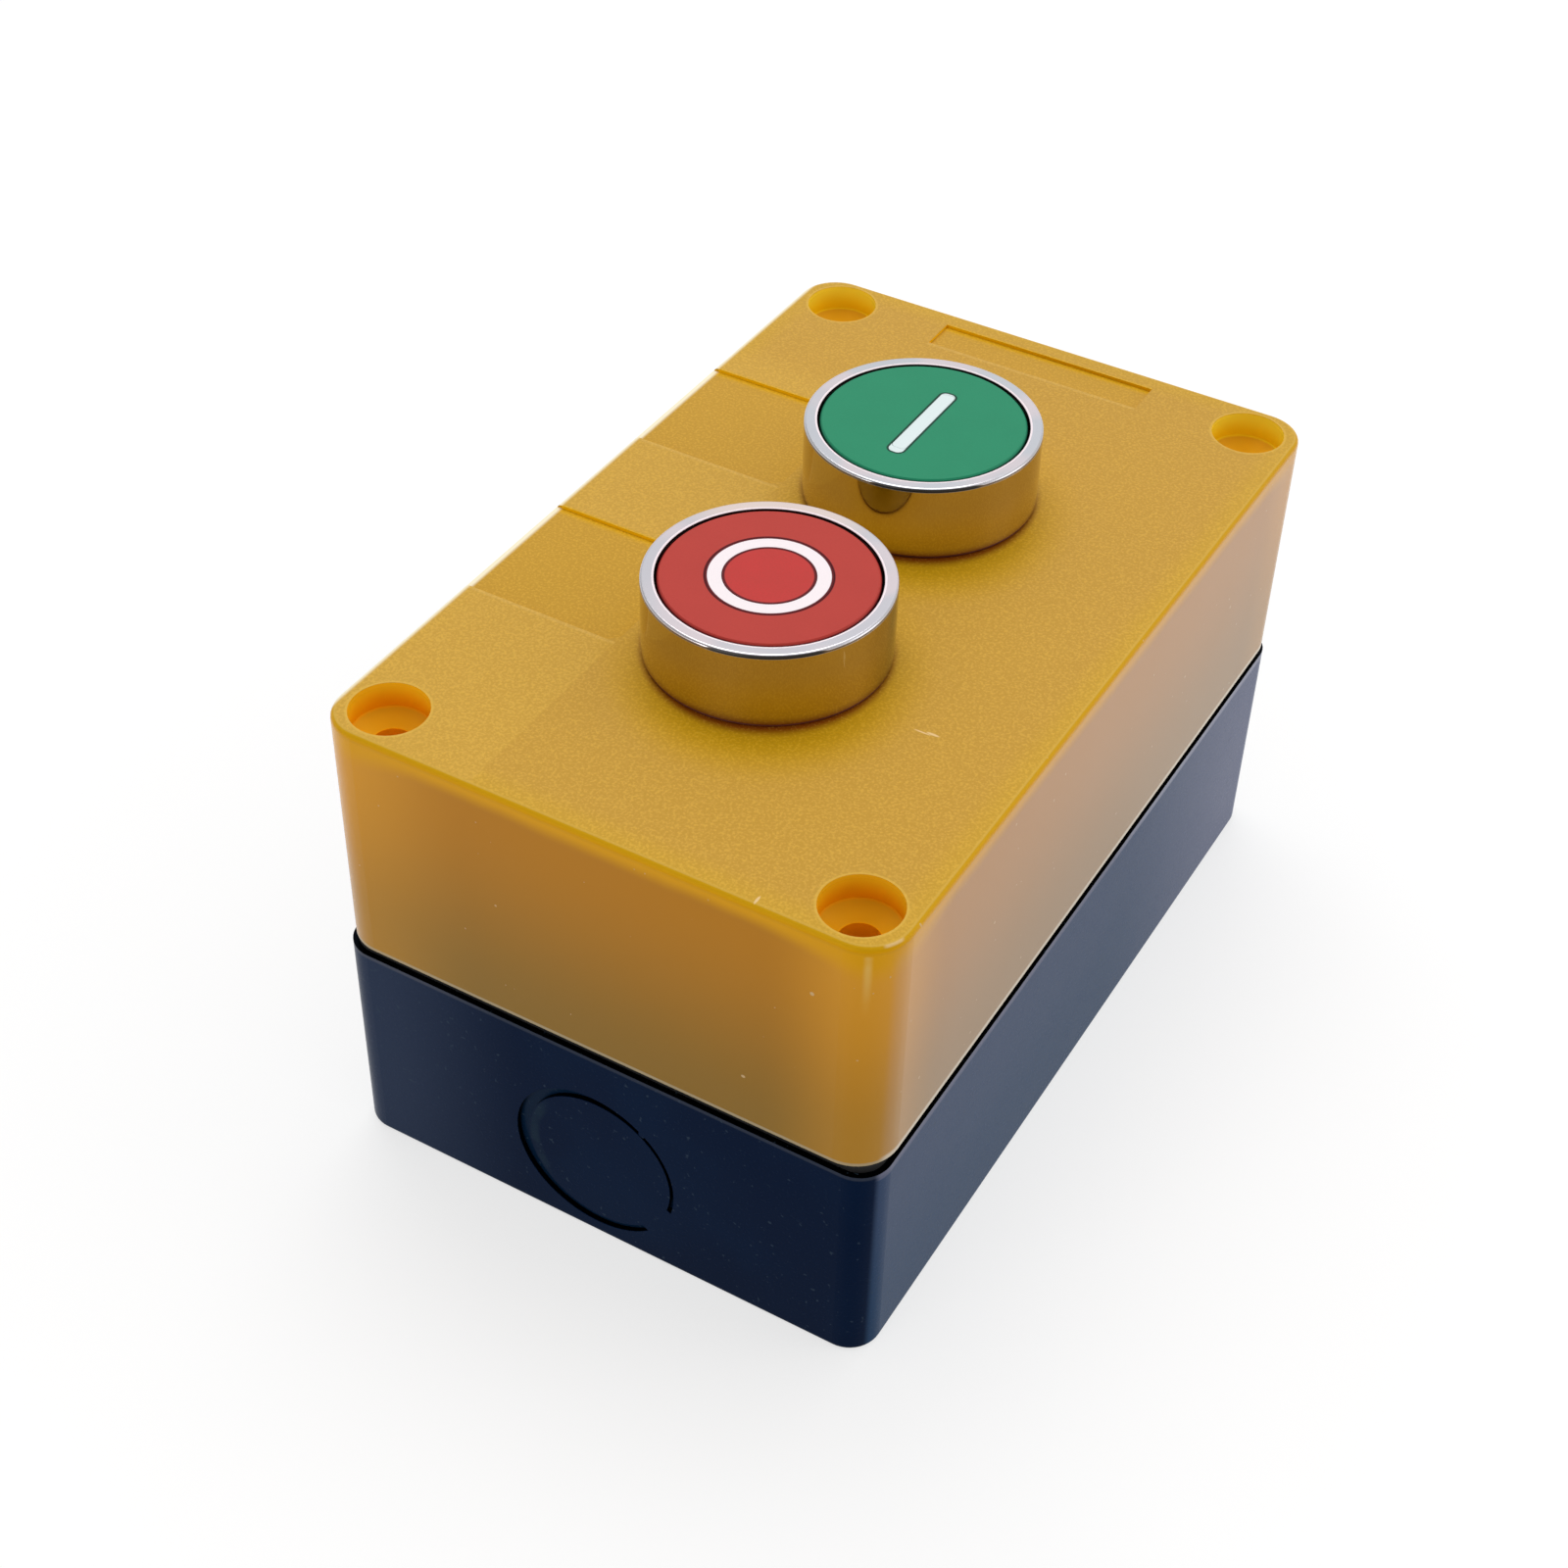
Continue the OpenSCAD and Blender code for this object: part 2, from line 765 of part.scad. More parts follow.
module hook_slot() {
    half = hook_w / 2 + guide_gap;
    translate([hook_x - guide_gap, -half, carrier_z - over])
        cube([hook_t + 2 * guide_gap, 2 * half, hook_h + over + guide_gap]);
    translate([hook_x - guide_gap, -half, carrier_z + hook_ledge])
        cube([carrier_w / 2 - hook_x + guide_gap + over, 2 * half, hook_h - hook_ledge + guide_gap]);
}

// Screw through the carrier's ring, its point on the barrel
module carrier_screw(y) {
    slot_w = 0.8;
    color([0.75, 0.75, 0.76])
        translate([0, y, clamp_z])
            rotate([0, 90, 0])
                difference() {
                    union() {
                        translate([0, 0, barrel_r + seat_gap])
                            cylinder(d = clamp_screw_d, h = carrier_w / 2 - barrel_r);
                        translate([0, 0, carrier_w / 2])
                            cylinder(d = clamp_screw_d * 1.8, h = clamp_head_h);
                    }
                    translate([-clamp_screw_d, -slot_w / 2, carrier_w / 2 + clamp_head_h / 2])
                        cube([2 * clamp_screw_d, slot_w, clamp_head_h]);
                }
}

// The contact blocks

module block_outline() {
    translate([-block_l / 2, block_low_z])
        square([block_l, block_z - block_low_z]);
}

// Slide channel, contact chamber and one terminal pocket, seen from the side, for X above 0
module pocket_outline() {
    out = block_l / 2 + over;
    polygon([
        [-over, block_z + over], [slide_channel_r, block_z + over], [slide_channel_r, chamber_z],
        [chamber_x, chamber_z], [chamber_x, divider_z - divider_t], [out, divider_z - divider_t],
        [out, pocket_z], [pocket_x, pocket_z], [pocket_x, divider_z - divider_t],
        [slot_x, divider_z - divider_t], [slot_x, divider_z], [slide_channel_r, divider_z],
        [slide_channel_r, pocket_z], [-over, pocket_z]
    ]);
}

module contact_housing(y) {
    translate([0, y, 0]) {
        difference() {
            profile_plate(-block_w / 2, inner_y)
                block_outline();
            for (side = [0, 1])
                mirror([side, 0, 0]) {
                    profile_plate(-inner_y, inner_y + over)
                        pocket_outline();
                    translate([terminal_screw_x, 0, block_low_z - over])
                        cylinder(d = driver_hole_d, h = pocket_z - block_low_z + 2 * over);
                    translate([peg_x, inner_y + over, peg_z])
                        rotate([90, 0, 0])
                            cylinder(r = peg_r + seat_gap, h = peg_l + over + guide_gap);
                }
        }
        for (side = [0, 1])
            mirror([side, 0, 0])
                profile_plate(-hook_w / 2, hook_w / 2)
                    hook_outline();
    }
}

// Snap hook on the housing's top, which grips the carrier's foot
module hook_outline() {
    low = block_z - over;
    polygon([
        [hook_x, low], [hook_x + hook_t, low], [hook_x + hook_t, block_z + hook_ledge + 0.1],
        [hook_x + hook_t + hook_barb, block_z + hook_ledge + 0.1],
        [hook_x + hook_t, block_z + hook_h], [hook_x, block_z + hook_h]
    ]);
}

module contact_lid(y) {
    color([0.2, 0.21, 0.22])
        translate([0, y, 0]) {
            profile_plate(inner_y, block_w / 2)
                block_outline();
            for (side = [-1, 1])
                translate([side * peg_x, inner_y + block_t / 2, peg_z])
                    rotate([90, 0, 0])
                        cylinder(r = peg_r, h = peg_l + block_t / 2);
        }
}

// Slide with a window for the bridge and its pressure spring
module contact_plunger(y, window_z) {
    color([0.88, 0.88, 0.84])
        translate([0, y, 0])
            difference() {
                translate([-slide_w / 2, -slide_y, slide_low_z])
                    cube([slide_w, 2 * slide_y, slide_top_z - slide_low_z]);
                translate([-slide_w, -window_y, window_z])
                    cube([2 * slide_w, 2 * window_y, window_h]);
            }
}

// Moving bridge with a silver tip at each end, on its upper or lower side
module contact_bridge(y, bridge_z, tips_up) {
    color([0.8, 0.56, 0.34])
        translate([0, y, bridge_z]) {
            translate([-bridge_l / 2, -bridge_y, 0])
                cube([bridge_l, 2 * bridge_y, bridge_t]);
            for (side = [-1, 1])
                translate([side * tip_x, 0, tips_up ? bridge_t / 2 : -tip_h])
                    cylinder(d = tip_d, h = tip_h + bridge_t / 2);
        }
}

module pressure_spring(y, z0) {
    color([0.7, 0.7, 0.72])
        translate([0, y, 0])
            coil(bridge_y - pressure_wire, pressure_wire, 4, z0, z0 + window_h - bridge_t, 12);
}

module block_spring(y) {
    color([0.7, 0.7, 0.72])
        translate([0, y, 0])
            coil(slide_w / 2 - block_wire, block_wire, 5, pocket_z, slide_low_z, 12);
}

// One bent strip: contact arm, leg and screw plate, with its fixed contact tip
module terminal(y, side, strip_z, tip_up) {
    half_y = inner_y - 0.1;
    color([0.8, 0.62, 0.3])
        translate([0, y, 0])
            mirror([side < 0 ? 1 : 0, 0, 0])
                difference() {
                    union() {
                        profile_bar(half_y)
                            terminal_outline(strip_z);
                        translate([tip_x, 0, tip_up ? strip_z + strip_t / 2 : strip_z - tip_h])
                            cylinder(d = tip_d, h = tip_h + strip_t / 2);
                    }
                    translate([terminal_screw_x, 0, terminal_z - over])
                        cylinder(d = terminal_screw_d + 2 * seat_gap, h = terminal_t + 2 * over);
                }
}

module terminal_outline(strip_z) {
    translate([arm_x, strip_z])
        square([leg_x - arm_x, strip_t]);
    translate([leg_x - strip_t, terminal_z])
        square([strip_t, strip_z + strip_t - terminal_z]);
    translate([terminal_x, terminal_z])
        square([leg_x - terminal_x, terminal_t]);
}

module clamp_washers(y) {
    reach = leg_x - terminal_screw_x;
    color([0.75, 0.75, 0.76])
        for (side = [-1, 1])
            translate([side * terminal_screw_x, y, washer_z])
                difference() {
                    translate([-reach, -slide_y, 0])
                        cube([2 * reach, 2 * slide_y, washer_t]);
                    translate([0, 0, -over])
                        cylinder(d = terminal_screw_d + 4 * seat_gap, h = washer_t + 2 * over);
                }
}

module terminal_screws(y) {
    slot_w = 0.9;
    shaft_l = divider_z - divider_t - 0.2 - terminal_head_z - terminal_head_h / 2;
    color([0.75, 0.75, 0.76])
        for (side = [-1, 1])
            translate([side * terminal_screw_x, y, 0])
                difference() {
                    union() {
                        translate([0, 0, terminal_head_z])
                            cylinder(d = terminal_head_d, h = terminal_head_h);
                        translate([0, 0, terminal_head_z + terminal_head_h / 2])
                            cylinder(d = terminal_screw_d, h = shaft_l);
                    }
                    translate([-terminal_head_d, -slot_w / 2, terminal_head_z - over])
                        cube([2 * terminal_head_d, slot_w, over + terminal_head_h / 2]);
                }
}

module stop_contact_housing() {
    color([0.7, 0.2, 0.18])
        contact_housing(stop_y);
}

module start_contact_housing() {
    color([0.12, 0.5, 0.34])
        contact_housing(start_y);
}

base();
cover();
cover_gasket();
bezel(stop_y);  // stop_bezel
panel_seal(stop_y);  // stop_panel_seal
wiper_ring(stop_y);  // stop_wiper_ring
ring_nut(stop_y);  // stop_ring_nut
stop_cap();
stop_symbol();
plunger(stop_y);  // stop_plunger
retaining_clip(stop_y);  // stop_retaining_clip
return_spring(stop_y);  // stop_return_spring
carrier(stop_y);  // stop_carrier
carrier_screw(stop_y);  // stop_carrier_screw
stop_contact_housing();
contact_lid(stop_y);  // stop_contact_lid
contact_plunger(stop_y, stop_window_z);  // stop_contact_plunger
contact_bridge(stop_y, closed_bridge_z, true);  // stop_contact_bridge
pressure_spring(stop_y, stop_window_z);  // stop_pressure_spring
block_spring(stop_y);  // stop_block_spring
terminal(stop_y, -1, closed_strip_z, false);  // stop_terminal_left
terminal(stop_y, 1, closed_strip_z, false);  // stop_terminal_right
clamp_washers(stop_y);  // stop_clamp_washers
terminal_screws(stop_y);  // stop_terminal_screws
bezel(start_y);  // start_bezel
panel_seal(start_y);  // start_panel_seal
wiper_ring(start_y);  // start_wiper_ring
ring_nut(start_y);  // start_ring_nut
start_cap();
start_symbol();
plunger(start_y);  // start_plunger
retaining_clip(start_y);  // start_retaining_clip
return_spring(start_y);  // start_return_spring
carrier(start_y);  // start_carrier
carrier_screw(start_y);  // start_carrier_screw
start_contact_housing();
contact_lid(start_y);  // start_contact_lid
contact_plunger(start_y, start_window_z);  // start_contact_plunger
contact_bridge(start_y, open_bridge_z, false);  // start_contact_bridge
pressure_spring(start_y, open_bridge_z + bridge_t);  // start_pressure_spring
block_spring(start_y);  // start_block_spring
terminal(start_y, -1, open_strip_z, true);  // start_terminal_left
terminal(start_y, 1, open_strip_z, true);  // start_terminal_right
clamp_washers(start_y);  // start_clamp_washers
terminal_screws(start_y);  // start_terminal_screws
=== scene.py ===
import bpy
import bmesh
import json
from math import radians, sin, cos, pi
from mathutils import Matrix, Vector


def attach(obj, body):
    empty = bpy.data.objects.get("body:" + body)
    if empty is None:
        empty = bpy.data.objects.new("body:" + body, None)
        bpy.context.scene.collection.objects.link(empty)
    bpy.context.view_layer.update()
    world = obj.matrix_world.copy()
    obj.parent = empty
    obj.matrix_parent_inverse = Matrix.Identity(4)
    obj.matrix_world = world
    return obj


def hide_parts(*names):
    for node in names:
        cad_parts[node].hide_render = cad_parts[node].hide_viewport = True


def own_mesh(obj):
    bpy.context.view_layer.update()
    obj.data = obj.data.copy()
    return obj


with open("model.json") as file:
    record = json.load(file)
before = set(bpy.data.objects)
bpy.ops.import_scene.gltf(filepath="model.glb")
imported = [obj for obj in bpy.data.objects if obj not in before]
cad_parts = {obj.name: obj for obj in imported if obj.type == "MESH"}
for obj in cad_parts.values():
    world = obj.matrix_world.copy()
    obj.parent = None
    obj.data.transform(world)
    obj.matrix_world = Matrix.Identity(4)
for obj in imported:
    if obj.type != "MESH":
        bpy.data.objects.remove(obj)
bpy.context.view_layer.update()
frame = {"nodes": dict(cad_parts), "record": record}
nodes = frame["nodes"]
scene = bpy.context.scene
mm = 0.001
buttonY = {"stop": -18.2, "start": 16.4}   # where the two buttons stand along Y, in millimetres
print("frame loaded:", len(nodes), "nodes")


# Camera, at the photograph's angle
cameraSettings = {
    "lens": 58.554,
    "sensor": 36,
    "azimuth": 29.175,
    "elevation": 41.188,
    "roll": 1.656,
    "distance": 326.048 * mm,
    "originRight": 6.100 * mm,   # where the object's origin lies from the middle of the picture
    "originDown": 21.246 * mm,
    "clip": (0.01, 20),
}


def makeCamera(s):
    az, el, roll = radians(s["azimuth"]), radians(s["elevation"]), radians(s["roll"])
    back = Vector((sin(az) * cos(el), -cos(az) * cos(el), sin(el)))
    side = Vector((cos(az), sin(az), 0))
    down = -back.cross(side)
    right = side * cos(roll) - down * sin(roll)
    down = side * sin(roll) + down * cos(roll)
    place = back * s["distance"] - right * s["originRight"] - down * s["originDown"]
    data = bpy.data.cameras.new("photoCamera")
    data.sensor_width = s["sensor"]
    data.lens = s["lens"]
    data.clip_start, data.clip_end = s["clip"]
    camera = bpy.data.objects.new("photoCamera", data)
    scene.collection.objects.link(camera)
    camera.matrix_world = Matrix.Translation(place) @ Matrix((right, -down, back)).transposed().to_4x4()
    scene.camera = camera


makeCamera(cameraSettings)
scene.view_settings.view_transform = "Standard"
print("camera placed")


# Helpers for materials

class Field:
    # a value or a colour that varies from point to point; arithmetic on it adds nodes to its tree
    def __init__(self, tree, socket):
        self.tree = tree
        self.socket = socket

    def __add__(self, other):
        return calc("ADD", self, other)

    def __sub__(self, other):
        return calc("SUBTRACT", self, other)

    def __rsub__(self, other):
        return calc("SUBTRACT", other, self)

    def __mul__(self, other):
        return calc("MULTIPLY", self, other)

    def __truediv__(self, other):
        return calc("DIVIDE", self, other)

    def __neg__(self):
        return calc("MULTIPLY", self, -1.0)

    def __abs__(self):
        return calc("ABSOLUTE", self)

    __radd__, __rmul__ = __add__, __mul__


def feed(socket, value):
    if isinstance(value, Field):
        value.tree.links.new(value.socket, socket)
    else:
        socket.default_value = value


def calc(operation, *values):
    tree = next(value.tree for value in values if isinstance(value, Field))
    node = tree.nodes.new("ShaderNodeMath")
    node.operation = operation
    for socket, value in zip(node.inputs, values):
        feed(socket, value)
    return Field(tree, node.outputs[0])


def larger(a, b):
    return calc("MAXIMUM", a, b)


def lengthOf(x, y):
    return calc("SQRT", x * x + y * y)


def fade(value, start, end, low=0.0, high=1.0, shape="SMOOTHSTEP"):
    # goes from low to high while the value goes from start to end
    node = value.tree.nodes.new("ShaderNodeMapRange")
    node.interpolation_type = shape
    limits = (("From Min", start), ("From Max", end), ("To Min", low), ("To Max", high))
    for name, v in (("Value", value), *limits):
        feed(node.inputs[name], v)
    return Field(value.tree, node.outputs["Result"])


def band(value, start, end, soft):
    # 1 between start and end, with soft borders
    return fade(value, start - soft, start + soft) * fade(value, end - soft, end + soft, 1.0, 0.0)


def blendOf(share, a, b):
    node = share.tree.nodes.new("ShaderNodeMix")
    node.data_type = "RGBA"
    for index, value in ((0, share), (6, a), (7, b)):
        feed(node.inputs[index], value)
    return Field(share.tree, node.outputs[2])


def laid(under, mask, colour):
    # lays a colour over another one; its fourth number says how strongly
    return blendOf(mask * colour[3] if colour[3] < 1 else mask, under, (*colour[:3], 1))


def noiseOf(coords, size, detail=2.0, roughness=0.5):
    node = coords.tree.nodes.new("ShaderNodeTexNoise")
    feed(node.inputs["Vector"], coords)
    for name, value in (("Scale", 1 / size), ("Detail", detail), ("Roughness", roughness)):
        feed(node.inputs[name], value)
    return Field(coords.tree, node.outputs["Fac"])


def cloudsOf(coords, noise, contrast):
    # a noise of one size and detail, drawn apart between two of its levels
    return fade(noiseOf(coords, *noise), *contrast)


def partsOf(tree, socket):
    split = tree.nodes.new("ShaderNodeSeparateXYZ")
    tree.links.new(socket, split.inputs[0])
    return [Field(tree, part) for part in split.outputs]


def placeOf(tree, centre=(0, 0, 0)):
    # a point's place on the object, whole and in its three parts
    mapping = tree.nodes.new("ShaderNodeMapping")
    tree.links.new(tree.nodes.new("ShaderNodeTexCoord").outputs["Object"], mapping.inputs["Vector"])
    mapping.inputs["Location"].default_value = [-v for v in centre]
    place = mapping.outputs["Vector"]
    return Field(tree, place), *partsOf(tree, place)


def insideOf(ax, ay, halfWidth, halfLength, corner):
    # how far a point lies inside a rectangle with rounded corners
    qx, qy = ax - (halfWidth - corner), ay - (halfLength - corner)
    outer = lengthOf(larger(qx, 0.0), larger(qy, 0.0))
    inner = calc("MINIMUM", larger(qx, qy), 0.0)
    return corner - (outer + inner)


def bumpOf(height, depth, strength=1.0, under=None):
    node = height.tree.nodes.new("ShaderNodeBump")
    node.inputs["Strength"].default_value = strength
    node.inputs["Distance"].default_value = depth
    feed(node.inputs["Height"], height)
    if under is not None:
        feed(node.inputs["Normal"], under)
    return Field(height.tree, node.outputs["Normal"])


def wavesOf(coords, noise, depth, strength):
    return bumpOf(noiseOf(coords, *noise), depth, strength)


def newFinish(name, **sockets):
    material = bpy.data.materials.new(name)
    material.use_nodes = True
    shader = material.node_tree.nodes["Principled BSDF"]
    for key, value in sockets.items():
        shader.inputs[key.replace("_", " ")].default_value = value
    return material, material.node_tree, shader.inputs


def dress(node, material):
    mesh = nodes[node].data
    mesh.materials.clear()
    mesh.materials.append(material)


# Cover plastic: amber, fine-grained on top, smooth sides, with a painted glow where light passes through its
# edges, painted highlights and painted shade
palePlastic = (0.85, 0.620, 0.330)
coverPlastic = {
    # a colour is red, green, blue and how strongly it is laid on; a "Fade" says where it starts and is full;
    # a "Noise" is its size, its detail and its contrast
    "ior": 1.4,
    "tint": (1.0, 0.62, 0.05, 1),
    "halfWidth": 34 * mm,
    "halfLength": 53.5 * mm,
    "cornerRadius": 5 * mm,
    "low": 30.3 * mm,
    "height": 61.5 * mm,

    # sides, with their painted glow, shade and highlights, measured down from the top, up from the joint or
    # in from the long sides
    "sideLow": (0.325, 0.168, 0.018, 1),
    "sideHigh": (0.63, 0.246, 0.010, 1),
    "sideHighDepth": 2.5 * mm,
    "sideCorner": (0.95, 0.420, 0.030, 1),
    "cornerReach": (14 * mm, 20 * mm),   # at the right and at the left
    "cornerFull": 1.5 * mm,
    "cornerRise": (5 * mm, 34.7 * mm, 0.40, 1.0),
    "leftFade": (0.0, -10 * mm),
    "sideBand": (0.95, 0.440, 0.001, 1),
    "bandDepth": (14 * mm, 2 * mm, 1.3 * mm, 2.5 * mm),
    "bandFade": (1.7, 0.5),
    "bandWaves": (12 * mm, 1.0 * mm),
    "stepLine": (0.66, 0.300, 0.001, 0.2),
    "stepLineBand": (0.55 * mm, 0.95 * mm, 0.2 * mm),
    "edgeHigh": (0.64, 0.340, 0.006, 1),
    "edgeHighFade": (0.7 * mm, 0.1 * mm),
    "longFade": (0.9 * mm, 0.2 * mm),
    "longSide": (0.64, 0.440, 0.330, 0.3),
    "longDepth": (0.4 * mm, 3.2 * mm),
    "longAlong": (-50 * mm, -36 * mm, 0.6, 1.0),
    "lowLine": (0.53, 0.440, 0.280, 0.8),
    "lowLineFade": (0.5 * mm, 0.3 * mm),
    "lowLineLong": (0.95, 0.830, 0.660, 0.8),
    "lowLongFade": (0.9 * mm, 0.4 * mm),
    "scuffAndStreakHighlight": (1.00, 0.620, 0.150, 0.8),
    "streakHighlightBand": (1.4 * mm, 2.3 * mm, 0.4 * mm),
    "streakHighlightDepth": ((0.9 * mm, 1.3 * mm), (10 * mm, 2 * mm)),
    "streakHighlightRight": (0.0, 10 * mm),
    "streakHighlightCorner": (6 * mm, 4 * mm),
    "scuffAndStreakNoise": ((3 * mm, 2), (0.25, 0.60, 0.4, 1.0)),
    "speck": (*palePlastic, 0.6),
    "speckNoise": ((0.6 * mm, 0), (0.855, 0.875)),

    # top, with its recesses, the painted glow along its edges and steps, and the painted soft shadows round
    # the bezels
    "top": (0.560, 0.316, 0.052, 1),
    "topEdge": (0.600, 0.350, 0.040, 0.85),
    "topEdgeFade": (4 * mm, 0.7 * mm),
    "recess": (0.560, 0.305, 0.028, 1),
    "recessX": -14.2 * mm,
    "recessY": 17.25 * mm,
    "recessHalf": 9 * mm,
    "endRecessX": 14.2 * mm,
    "endRecessY": (45.7 * mm, 50.7 * mm),
    "recessSoft": (0.1 * mm, -0.1 * mm),
    "recessBlur": 0.05 * mm,
    "sunkDepth": (0.1 * mm, 0.3 * mm),
    "strip": (0.615, 0.360, 0.060, 0.85),
    "stripFade": (34 * mm, 28 * mm),
    "stepGlow": (0.73, 0.405, 0.006, 0.85),
    "stepGlowFade": ((-1.3 * mm, -0.1 * mm), (0.35 * mm, 0.1 * mm)),
    "stepEdgeHighlight": (0.68, 0.430, 0.110, 0.5),
    "stepEdgeHighlightBand": (-0.45 * mm, 0.02 * mm, 0.08 * mm),
    "stepFace": (0.96, 0.540, 0.002, 1),
    "stepFaceBand": (0.03 * mm, 0.37 * mm, 0.02 * mm),
    "shadeWay": (0.487, -0.873),   # the way the bezels' soft shadows fall
    "glow": (0.620, 0.340, 0.002, 1),
    "glowReach": (13.6 * mm, 19.5 * mm),
    "glowMore": (2.0 * mm, 4.0 * mm),
    "glowShare": (-0.3, 0.95, 0.3, 0.95),
    "contact": (0.180, 0.010, 0.0005, 1),
    "contactReach": (13.35 * mm, 14.35 * mm),
    "contactMore": (0.40 * mm, 1.05 * mm),
    "contactShare": (-0.5, 0.95, 0.3, 0.98),
    "grain": (0.32 * mm, 2, 0.6),
    "grainContrast": (0.42, 0.68, -0.5, 0.5),
    "grainPale": (0.80, 0.480, 0.060, 0.5),
    "grainDark": (0.38, 0.190, 0.006, 0.5),

    # border between top and sides with its painted highlights, and small marks
    "levelSlope": (0.80, 0.96),
    "levelDepth": (0.75 * mm, 0.65 * mm),
    "innerFade": (0.65 * mm, 0.8 * mm),
    "rimHighlight": (0.66, 0.410, 0.070, 0.7),
    "rimSlope": (0.88, 0.985, 0.02),
    "rimDepth": (0.4 * mm, 0.2 * mm),
    "rimFade": (0.75 * mm, 0.6 * mm),
    "leftRim": (0.93, 0.860, 0.640, 1),
    "leftRimFade": (0.95 * mm, 0.35 * mm),
    "leftRimSlope": (0.2, 0.4),
    "leftRimDepth": (0.75 * mm, 0.6 * mm),
    "glint": (*palePlastic, 0.65),
    "glintEdge": (0.18 * mm, 0.42 * mm, 0.08 * mm),
    "glintBand": (-3.2 * mm, -0.4 * mm, 0.4 * mm),
    "glintDepth": (0.6 * mm, 0.4 * mm),
    "glintRight": (20 * mm, 28 * mm),
    "mark": (*palePlastic, 0.75),
    "markFade": (1.3, 0.5),
    "marks": (   # pale nicks: middle x, y, z, half sizes along x, y and z, in millimetres
        (19.1, -52.6, 61.5, 0.16, 0.60, 0.4), (20.9, -22.2, 61.5, 1.00, 0.10, 0.3),
        (22.0, -21.95, 61.5, 0.75, 0.17, 0.3), (25.96, -53.5, 53.1, 0.25, 0.3, 0.25),
        (31.1, -53.4, 46.1, 0.25, 0.4, 0.22), (18.4, -53.5, 37.0, 0.25, 0.3, 0.2),
    ),

    # screw wells, painted with the glow and shade of light in them, measured out from their wall
    "screwX": 28 * mm,
    "screwY": 48 * mm,
    "wellRadius": 4.35 * mm,
    "holeRadius": 2.2 * mm,
    "wellRim": (1.00, 0.620, 0.015, 1),
    "wellRimFar": (1.00, 0.800, 0.050, 1),
    "wellWall": (0.96, 0.420, 0.001, 1),
    "wellWallFar": (1.00, 0.700, 0.008, 1),
    "wellDepth": (0.2 * mm, 3.1 * mm),
    "wellFloor": (0.82, 0.420, 0.010, 1),
    "wellFloorFade": (-0.02 * mm, -0.3 * mm),
    "wellHole": (0.95, 0.450, 0.003, 1),
    "wellHoleFade": (0.15 * mm, 0.0),
    "wellShade": (0.50, 0.220, 0.001, 0.14),
    "wellInside": (0.12 * mm, 0.03 * mm),
    "wellInsideDepth": (0.02 * mm, 0.1 * mm),
    "wellEdge": (0.70, 0.440, 0.075, 0.6),
    "wellEdgeBand": (-0.05 * mm, 0.25 * mm, 0.08 * mm),
    "wellEdgeDepth": (0.08 * mm, 0.03 * mm),
    "middleFade": (-10 * mm, 10 * mm),

    # roughness: plain, more on the flat top, with its grain and in the recesses
    "rough": (0.2, 0.26, 0.08, 0.12),
    "flatDepth": (0.6 * mm, 0.2 * mm),
    "grainBump": 0.034 * mm,
    "waves": ((10 * mm, 1), 0.10 * mm, 0.5),
}


